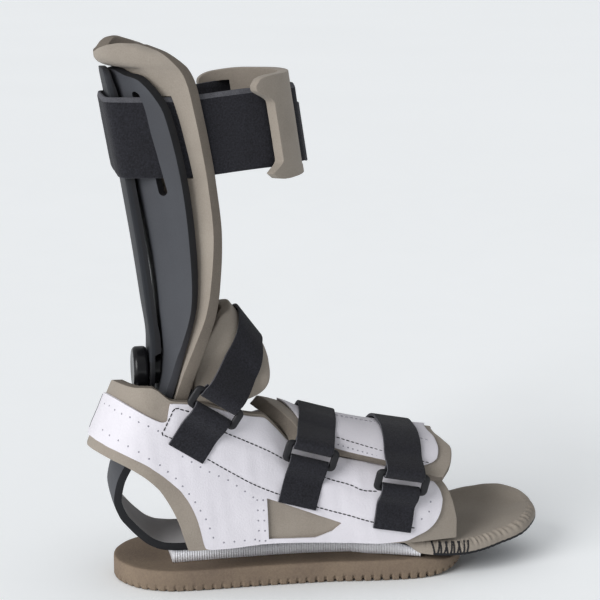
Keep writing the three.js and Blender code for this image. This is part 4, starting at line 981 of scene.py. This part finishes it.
def upper_edge(run, name):
    value = UPPER.at(name, np.where(run <= REAR.turn / 2, run, REAR.turn - run))
    if "top" in name:
        ankle = ease(value, FAR.low, FAR.high)
        return value - ankle * FAR.drop * ease(run, FAR.drop_from, FAR.drop_to)
    return value + FAR.lift * ease(REAR.x + run - REAR.turn, FAR.lift_from, FAR.lift_to)


def upper_skin(run, z, offset):
    side = np.where(run < 0, REAR.x - run, REAR.x + run - REAR.turn)
    flank = xyz(side, np.sign(run) * form_reach(FORM, side, z, offset), z)
    angle = np.clip(run / REAR.turn, 0, 1) * math.pi
    depth = REAR.depth + (REAR.from_z - np.maximum(z, REAR.widest)) * REAR.slant + offset
    half = form_reach(FORM, np.full_like(z, REAR.x), z, offset)
    heel = xyz(REAR.x - depth * np.sin(angle), -half * np.cos(angle), z)
    return np.where(((run < 0) | (run > REAR.turn))[..., None], flank, heel)


def upper_place(run, share, offset):
    low, high = upper_edge(run, "bottom"), upper_edge(run, "top")
    z = low + (high - low) * share
    p = upper_skin(run, z, offset)
    return upper_skin(run, z, offset + 0.15 * ripple(p, 30, 41) + 0.15 * 0.5 * ripple(p, 11, 42))


STITCH_A = Table("run z", [
    [-138.6, 60.3], [-132.1, 61], [-122.5, 65.1], [-109.1, 69.4], [-82.2, 82.3], [-71, 89.3], [-57.9, 96.3],
    [-42.5, 104],
])
STITCH_B = Table("run z", [
    [-163.1, 35.4], [-135.8, 41.3], [-121.5, 46], [-102.2, 52.1], [-76.5, 62], [-60.4, 69.6], [-44.5, 79.1],
    [-31.3, 87.6],
])
SEAM = Sizes(deep=0.55, wide=2.6)


def seam_dent(run, z):
    """The cover is drawn in along its two lines of stitches."""
    total = np.zeros(np.broadcast(run, z).shape)
    for line in (STITCH_A, STITCH_B):
        ends = line.columns["run"]
        inside = ease(run, ends[0] - 6, ends[0]) * (1 - ease(run, ends[-1], ends[-1] + 6))
        total += inside * np.exp(-((z - line.at("z", run)) / SEAM.wide) ** 2)
    return -SEAM.deep * total


def cover_wave(run, z):
    p = upper_skin(run, z, VINYL)
    return seam_dent(run, z) + 0.28 * ripple(p, 34, 51) + 0.14 * ripple(p, 12, 52)


def cover_skin(run, z, offset):
    return upper_skin(run, z, offset + cover_wave(run, z))


def cover_place(run, share, offset):
    low, high = upper_edge(run, "cover_bottom"), upper_edge(run, "cover_top")
    return cover_skin(run, low + (high - low) * share, offset)


near_runs = spans((-194, -184.6, 9), (-184, -176, 22), (-174.5, -34, 92), (-33, 12, 92), (13, 50, 30))
runs = np.concatenate([near_runs, (REAR.turn - near_runs[:-1])[::-1]])
shares = np.linspace(0, 1, 40)
wall("upper_foam_detail", runs, shares, upper_place, 0.0, -FOAM, FOAM_WALL,
     node="upper_foam", padded=1.0, bevel=0.9)
COVER_END = 184.2
cover_runs = runs[(runs > -COVER_END) & (runs < REAR.turn + COVER_END)]
COVER_IN = 0.75
COVER_OUT = VINYL + COVER_IN
cover = wall("upper_cover_detail", cover_runs, shares, cover_place, COVER_OUT, COVER_IN, [VINYL_LOOK] * 3,
             node="upper_cover")
WINDOW = [(-40, 60.5), (8.5, 41.5), (2, 36.5), (-9, 33), (-39, 33.5)]
for ends_y in ((-60, -30), (30, 60)):
    carve(cover, prism([[(x, y, z) for x, z in WINDOW] for y in ends_y], VINYL_LOOK))
smooth_edges(cover, 45)

# Vamp flap over the top of the foot

VAMP = Sizes(offset=2.9, far_z=52.0, margin=5.0, skive=0.75, thick=6.2, tuck=8.0)
VAMP_EDGES = Table("share rear front", [
    [0, -15, 76], [0.1, -18, 83], [0.2, -25, 86], [0.32, -33, 83], [0.42, -36.5, 80.5], [0.5, -34.5, 81.5],
    [0.6, -27, 85], [0.7, -19, 86], [1, -11, 78],
])
VAMP_NEAR = Table("x z", [
    [-40, 99], [-17, 95], [9, 87], [37, 79], [60, 71.5], [74, 67], [82, 66.5], [87, 70],
])


def vamp_point(u, share, offset, inset=0.0):
    under = min(0.0, offset - VAMP.offset - VAMP.thick) / VAMP.thick
    rear = VAMP_EDGES.at("rear", share) + inset * (1.2 + 1.5 * ease(share, 0.08, 0.35))
    rear = rear + under * VAMP.tuck * (1 - ease(share, 0.3, 0.6))
    short = 1.0 + 1.1 * (1 - ease(share, 0.15, 0.4)) + 1.6 * (1 - ease(share, 0.0, 0.14))
    front = VAMP_EDGES.at("front", share) - inset * short
    x = rear + (front - rear) * u
    arch = VAMP_FORM.at("arch", x) + offset
    lift = lambda z: np.arcsin(np.clip((z - FLOOR) / arch, 0, 1) ** (1 / ROUND))
    slant = under * VAMP.thick * VAMP.skive
    start = lift(VAMP_NEAR.at("z", x) + slant + inset * 0.2)
    end = math.pi - lift(VAMP.far_z + inset)
    angle = start + (end - start) * share
    y = np.sign(np.cos(angle)) * np.abs(np.cos(angle)) ** ROUND * (VAMP_FORM.at("half", x) + offset)
    p = xyz(x, -y, FLOOR + arch * np.sin(angle) ** ROUND)
    return p + xyz(0, 0, 0.3 * ripple(p, 32, 61))


vamp_us, vamp_shares = np.linspace(0, 1, 60), np.linspace(0, 1, 60)
wall("vamp_foam_detail", vamp_us, vamp_shares, vamp_point, VAMP.offset + VAMP.thick, VAMP.offset,
     FOAM_WALL, node="vamp_foam", padded=1.0, bevel=0.9)
VAMP_TOP = VAMP.offset + VAMP.thick + 0.2


def vamp_cover_point(u, share, offset):
    return vamp_point(u, share, offset, VAMP.margin)


flap = wall("vamp_cover_detail", vamp_us, vamp_shares, vamp_cover_point, VAMP_TOP + VINYL, VAMP_TOP,
            [VINYL_LOOK] * 3, node="vamp_cover", bevel=0.4)

# Straps across the foot, with their rings and sewn tabs

FOOT_STRAP = Sizes(thick=2.0, width=25.4)
BUCKLE = Sizes(thick=3.2, bar=2.8, ear=5.0, width=31.6, pitch=12.0, corner=2.2)
BUCKLE_Y = -46.0
STRAPS = [
    Sizes(name="midfoot", x=-11.6, z=86.5, tilt=16.5, yaw=0.17, twist=0.0, bulge=0.0, upper=16.4, lower=8.6,
          tab=33.4, slack=1.0),
    Sizes(name="forefoot", x=46.6, z=67.5, tilt=11.0, yaw=0.06, twist=0.0, bulge=0.0, upper=15.8, lower=8.6,
          tab=32.6, slack=0.6),
]
ANKLE = Sizes(x=-73.0, z=121.0, tilt=33.0, yaw=0.0, twist=20.0, half=31.0, low=-10.0, apex=52.0, thick=9.5,
              tab=34.0, bulge=5.0, bulge_from=8.0, lap=7.0, rear=12.0, widen=16.0, round=8.0, front=16.0)
HOOK = math.hypot(2.2, 2.6) / 2 + 0.45 + FOOT_STRAP.thick / 2
TAB_LIE = COVER_OUT + 0.5 + FOOT_STRAP.thick / 2
TAB_SHARES = (0.5, 0.75, 1)


def hump(share):
    t = np.clip(share, 0, 1)
    return 4 * t * (1 - t)


def plane_of(row):
    """The slanted plane of a strap, as a function of the place across the foot, up the plane and along x."""
    def plane(y, p, w):
        tilt = math.radians(row.tilt)
        spread = np.radians(row.tilt + row.twist * ease(p, 0, ANKLE.apex))
        start = ANKLE.bulge_from
        bulge = row.bulge * hump((p - start) / (ANKLE.apex - start))
        yaw = np.maximum(0, y - BUCKLE_Y) * row.yaw
        return xyz(row.x + bulge + p * math.sin(tilt) + w * np.cos(spread) + yaw, y,
                   row.z + p * math.cos(tilt) - w * np.sin(spread))
    return plane


def band(node, path, plane, count):
    """Webbing along a flat path, spread to its width across the plane."""
    path = curve_through(np.asarray(path), count)
    way = unit(np.gradient(path, axis=0))

    def place(i, w, side):
        k = np.asarray(i, int)
        q = path[k] + np.stack([-way[k, 1], way[k, 0]], -1) * side
        return plane(q[..., 0], q[..., 1], w)

    thick, half = FOOT_STRAP.thick, FOOT_STRAP.width / 2
    wall(f"{node}_detail", np.arange(count), np.linspace(-half, half, 12), place, thick / 2, -thick / 2,
         STRAP_WALL, node=node, bevel=0.45)


def turn_round(bar, up, out, sign):
    angles = np.linspace(0, math.pi, 9)
    return [bar - out * HOOK * math.cos(a) - up * sign * HOOK * math.sin(a) for a in angles]


def blunt(value):
    """Squares a round section a little."""
    return math.copysign(abs(value) ** 0.7, value)


def buckle(name, lower, upper, plane):
    """Ring with round bars and corners, in the plane of its two straps."""
    middle, up = (lower + upper) / 2, upper - lower
    tall = np.linalg.norm(up)
    up = up / tall
    wide = BUCKLE.width - BUCKLE.bar
    r = BUCKLE.corner
    outline = []
    for cx, cy, start in ((wide / 2 - r, tall / 2 - r, 0), (r - wide / 2, tall / 2 - r, 90),
                          (r - wide / 2, r - tall / 2, 180), (wide / 2 - r, r - tall / 2, 270)):
        for a in np.radians(np.linspace(start, start + 90, 8)):
            outline.append((cx + r * math.cos(a), cy + r * math.sin(a), math.cos(a), math.sin(a)))
    sides = 12
    points = []
    for w, p, nw, np_ in outline:
        for a in np.arange(sides) / sides * 2 * math.pi:
            span = BUCKLE.bar + (BUCKLE.ear - BUCKLE.bar) * abs(nw) ** 2
            far = blunt(math.cos(a)) * span / 2 + (span - BUCKLE.bar) / 2
            deep = blunt(math.sin(a)) * BUCKLE.thick / 2
            q = middle + up * (p + np_ * far) + np.array([-up[1], up[0]]) * deep
            points.append(plane(q[0], q[1], w + nw * far))
    faces = ring_faces(len(outline), sides, closed=True)
    add(f"{name}_detail", np.array(points), faces, [RING_LOOK], node=name)
    return up


def fasten(name, plane, upper, lower, over, flat):
    """A ring with its strap, up and over the foot, and its sewn tab, down on the upper."""
    up = buckle(f"{name}_buckle", lower, upper, plane)
    out = np.array([-up[1], up[0]])
    turn = turn_round(upper, up, out, 1)
    band(f"{name}_strap", [turn[0] + up * 3, *turn, turn[-1] + up * 3, *over], plane, 130)
    turn = turn_round(lower, up, out, -1)
    band(f"{name}_tab", [turn[0] - up * 2, *turn, turn[-1] - up * 3, *flat], plane, 70)


def form_spot(row, p, offset):
    """Where a strap's plane meets the foot's form at a height, lifted off it."""
    x, _, z = plane_of(row)(0.0, p, 0.0)
    return np.array([-float(form_reach(VAMP_FORM if x > -20 else FORM, x, z, offset)), p])


half_pitch = BUCKLE.pitch / 2
for row in STRAPS:
    plane = plane_of(row)
    lift = VAMP_TOP + VINYL + FOOT_STRAP.thick / 2 + row.slack
    crown = 0.0
    while plane(0, crown + 0.5, 0)[2] < FLOOR + VAMP_FORM.at("arch", plane(0, crown + 0.5, 0)[0]) + lift:
        crown += 0.5
    heights = [crown * math.sin(a) ** 0.8 for a in np.radians(np.linspace(24, 90, 9))]
    over = [form_spot(row, p, lift) for p in heights if p > half_pitch + 7]
    far = [q * (-1, 1) for q in over[-2::-1]]
    down = [form_spot(row, p, lift) * (-1, 1) for p in (10, -4, -14)]
    flat = [form_spot(row, -row.tab * share, TAB_LIE) for share in TAB_SHARES]
    upper, lower = form_spot(row, half_pitch, row.upper), form_spot(row, -half_pitch, row.lower)
    fasten(row.name, plane, upper, lower, over + far + down, flat)

# Instep pad and the ankle strap over it

ankle_plane = plane_of(ANKLE)


def arch_path(offset, start, count):
    a = np.radians(np.linspace(start, 180 - start, count))
    return np.stack([-(ANKLE.half + offset) * np.sign(np.cos(a)) * np.abs(np.cos(a)) ** ROUND,
                     ANKLE.low + (ANKLE.apex - ANKLE.low + offset) * np.sin(a) ** ROUND], -1)


def instep_point(i, across, offset):
    path = arch_path(float(offset), 2, 61)
    q = path[np.asarray(i, int)]
    climb = np.clip(q[..., 1] / ANKLE.apex, 0, 1)
    widen, trim = np.sin(np.minimum(climb / 0.6, 1) * math.pi / 2), ease(climb, 0.72, 1)
    low = -ANKLE.rear - ANKLE.widen * widen + ANKLE.round * trim
    high = ANKLE.front + ANKLE.lap * hump((climb - 0.2) / 0.8)
    p = ankle_plane(q[..., 0], q[..., 1], low + (high - low) * across)
    return p + (0.3 * ripple(p, 30, 71))[..., None]


wall("instep_pad_detail", np.arange(61), np.linspace(0, 1, 16), instep_point, 0.0, -ANKLE.thick,
     [FOAM_LOOK] * 3, node="instep_pad", padded=1.0, bevel=1.4)
ANKLE_RING = Sizes(shift=1.0, lift=6.4, z=110.0, tab_z=100.0, over=0.9)
ANKLE_END = [(45.5, 8), (47.5, -6), (46.6, -22)]


def ankle_spot(p, offset, z):
    return np.array([-float(form_reach(FORM, ANKLE.x, z, offset)), p])


upper, lower = (ankle_spot(p + ANKLE_RING.shift, ANKLE_RING.lift, ANKLE_RING.z)
                for p in (half_pitch, -half_pitch))
arch = list(arch_path(ANKLE_RING.over + FOOT_STRAP.thick / 2, 30, 13))
flat = [ankle_spot(-ANKLE.tab * share, TAB_LIE, ANKLE_RING.tab_z) for share in TAB_SHARES]
fasten("ankle", ankle_plane, upper, lower, arch + [np.array(p) for p in ANKLE_END], flat)

# Stitches and pinholes

FLAP_OUT = VAMP_TOP + VINYL - 0.12


def lifted(skin, a, b, lift, away):
    """A place lifted off a surface and the way out of it, on the side that away points to."""
    here = skin(a, b)
    out = unit(np.cross(skin(a, b + 0.5) - here, skin(a + 0.5, b) - here))
    out *= np.sign(np.sum(out * away(here), -1))[..., None]
    return here + out * lift, out


def on_cover(run, z, lift):
    from_middle = lambda p: p - xyz(np.clip(p[..., 0], REAR.x, 200), 0, p[..., 2])
    return lifted(lambda a, b: cover_skin(a, b, COVER_OUT), run, z, lift, from_middle)


def on_flap(x, z, lift):
    skin = lambda a, b: xyz(a, -form_reach(VAMP_FORM, a, b, FLAP_OUT), b)
    return lifted(skin, x, z, lift, lambda p: np.array([0.0, -1.0, 0.0]))


def sewn(name, spot, path, size, look):
    """A line of stitches over a surface, through places given in the surface's own two measures."""
    gap, length, width, height, lift = size
    path = np.array(path, float)
    count = max(2, int(round(path_lengths(path)[-1] / gap)) + 1)
    line = even_steps(path, count)
    places, outs = spot(line[:, 0], line[:, 1], lift)
    beads(name, places, np.gradient(places, axis=0), outs, (length, width, height), look)


def line_of(table):
    run = np.linspace(table.columns["run"][0], table.columns["run"][-1], 60)
    return list(zip(run, table.at("z", run)))


# Gap, length, width, height and lift of the stitches and pinholes, in millimetres
LINE_SIZE = (3.1, 2.9, 0.85, 0.7, 0.1)
HOLE_SIZE = (6.6, 1.25, 1.25, 0.4, 0.0)
HEEL_SIZE = (1.1, 1.7, 0.8, 0.6, 0.05)
DARK_SIZE = (3.1, 2.6, 0.75, 0.6, 0.1)
GREY_SIZE = (3.4, 2.4, 0.7, 0.5, 0.1)
FLAP_HOLE_SIZE = (3.2, 1.1, 1.1, 0.4, 0.0)
ANKLE_BOX = [(-18.2, 119.3), (-10.5, 121.6), (-2.3, 105.2), (-7.8, 102.7)]
HEEL_SEAM = [(55, 120), (55, 99.5)]
HOLE_ROWS = [
    # places of the white cover's pinholes: run, height
    [(34, 104), (21.9, 100.6), (10.7, 95.2), (1.1, 87.2), (-10.7, 76.4), (-20.5, 63.6), (-29.7, 47.7),
     (-33.3, 37)],
    [(42, 118.5), (34.9, 118.9), (17.3, 115.6), (4.6, 110.2), (0.1, 107.5)],
    [(-14.7, 90.7), (-29, 81.3), (-44.4, 73.3), (-59, 62)],
    [(-61.6, 59.9), (-62.9, 32.8)], [(-65.4, 59.6), (-66.8, 32.6)],
    [(-173, 57.2), (-176.2, 49.8), (-174.5, 45.2), (-169.1, 40.8)],
    [(-40, 33.4), (-60, 34)],
]
FLAP_DARK = [(-6, 97.6), (9.2, 93.6), (35.9, 85.1), (66, 76.5)]
FLAP_GREY = [(-8, 106), (15.1, 100.2), (43.3, 93.5), (70, 86.5)]
FLAP_HOLES = [(8.2, 90.4), (35.1, 81.9), (60, 74.6)]
sewn("stitch_upper_line", on_cover, line_of(STITCH_A), LINE_SIZE, THREAD_LOOK)
sewn("stitch_lower_line", on_cover, line_of(STITCH_B), LINE_SIZE, THREAD_LOOK)
sewn("stitch_ankle_box", on_cover, ANKLE_BOX, LINE_SIZE, THREAD_LOOK)
for i, path in enumerate(HOLE_ROWS):
    sewn(f"pinholes_{i + 1}", on_cover, path, HOLE_SIZE, HOLE_LOOK)
sewn("stitch_flap_dark", on_flap, FLAP_DARK, DARK_SIZE, THREAD_LOOK)
sewn("stitch_flap_grey", on_flap, FLAP_GREY, GREY_SIZE, GREY_THREAD)
sewn("pinholes_flap", on_flap, FLAP_HOLES, FLAP_HOLE_SIZE, HOLE_LOOK)
sewn("seam_heel", on_cover, HEEL_SEAM, HEEL_SIZE, DARK_THREAD)

# Whip stitches that hold the gathered cover at the toe

WHIP = Sizes(start=70.5, end=92.5, lift=0.35, edge=0.998, reach=0.27, parts=5)
WHIP_SIZE = (2.6, 1.35, 1.1)
WHIP_LEANS = (-1.2, 1.8, 0.3, 2.5, -0.7, 1.4, 0.2, 2.2, -1.1, 0.9, 1.6)
places, ways, outs = [], [], []
for x, lean in zip(np.linspace(WHIP.start, WHIP.end, len(WHIP_LEANS)), WHIP_LEANS):
    shares = np.linspace(1, 0, WHIP.parts + 1)[None]
    curve = bed_point(x + lean * shares, -(WHIP.edge - WHIP.reach * shares**1.3), WHIP.lift)[0]
    places += list((curve[1:] + curve[:-1]) / 2)
    ways += list(curve[1:] - curve[:-1])
    outs += [np.array([0.0, -0.6 - 0.4 * t, 0.8 - 0.7 * t]) for t in np.linspace(0, 1, WHIP.parts)]
beads("stitch_toe_whip", places, ways, outs, WHIP_SIZE, THREAD_LOOK)
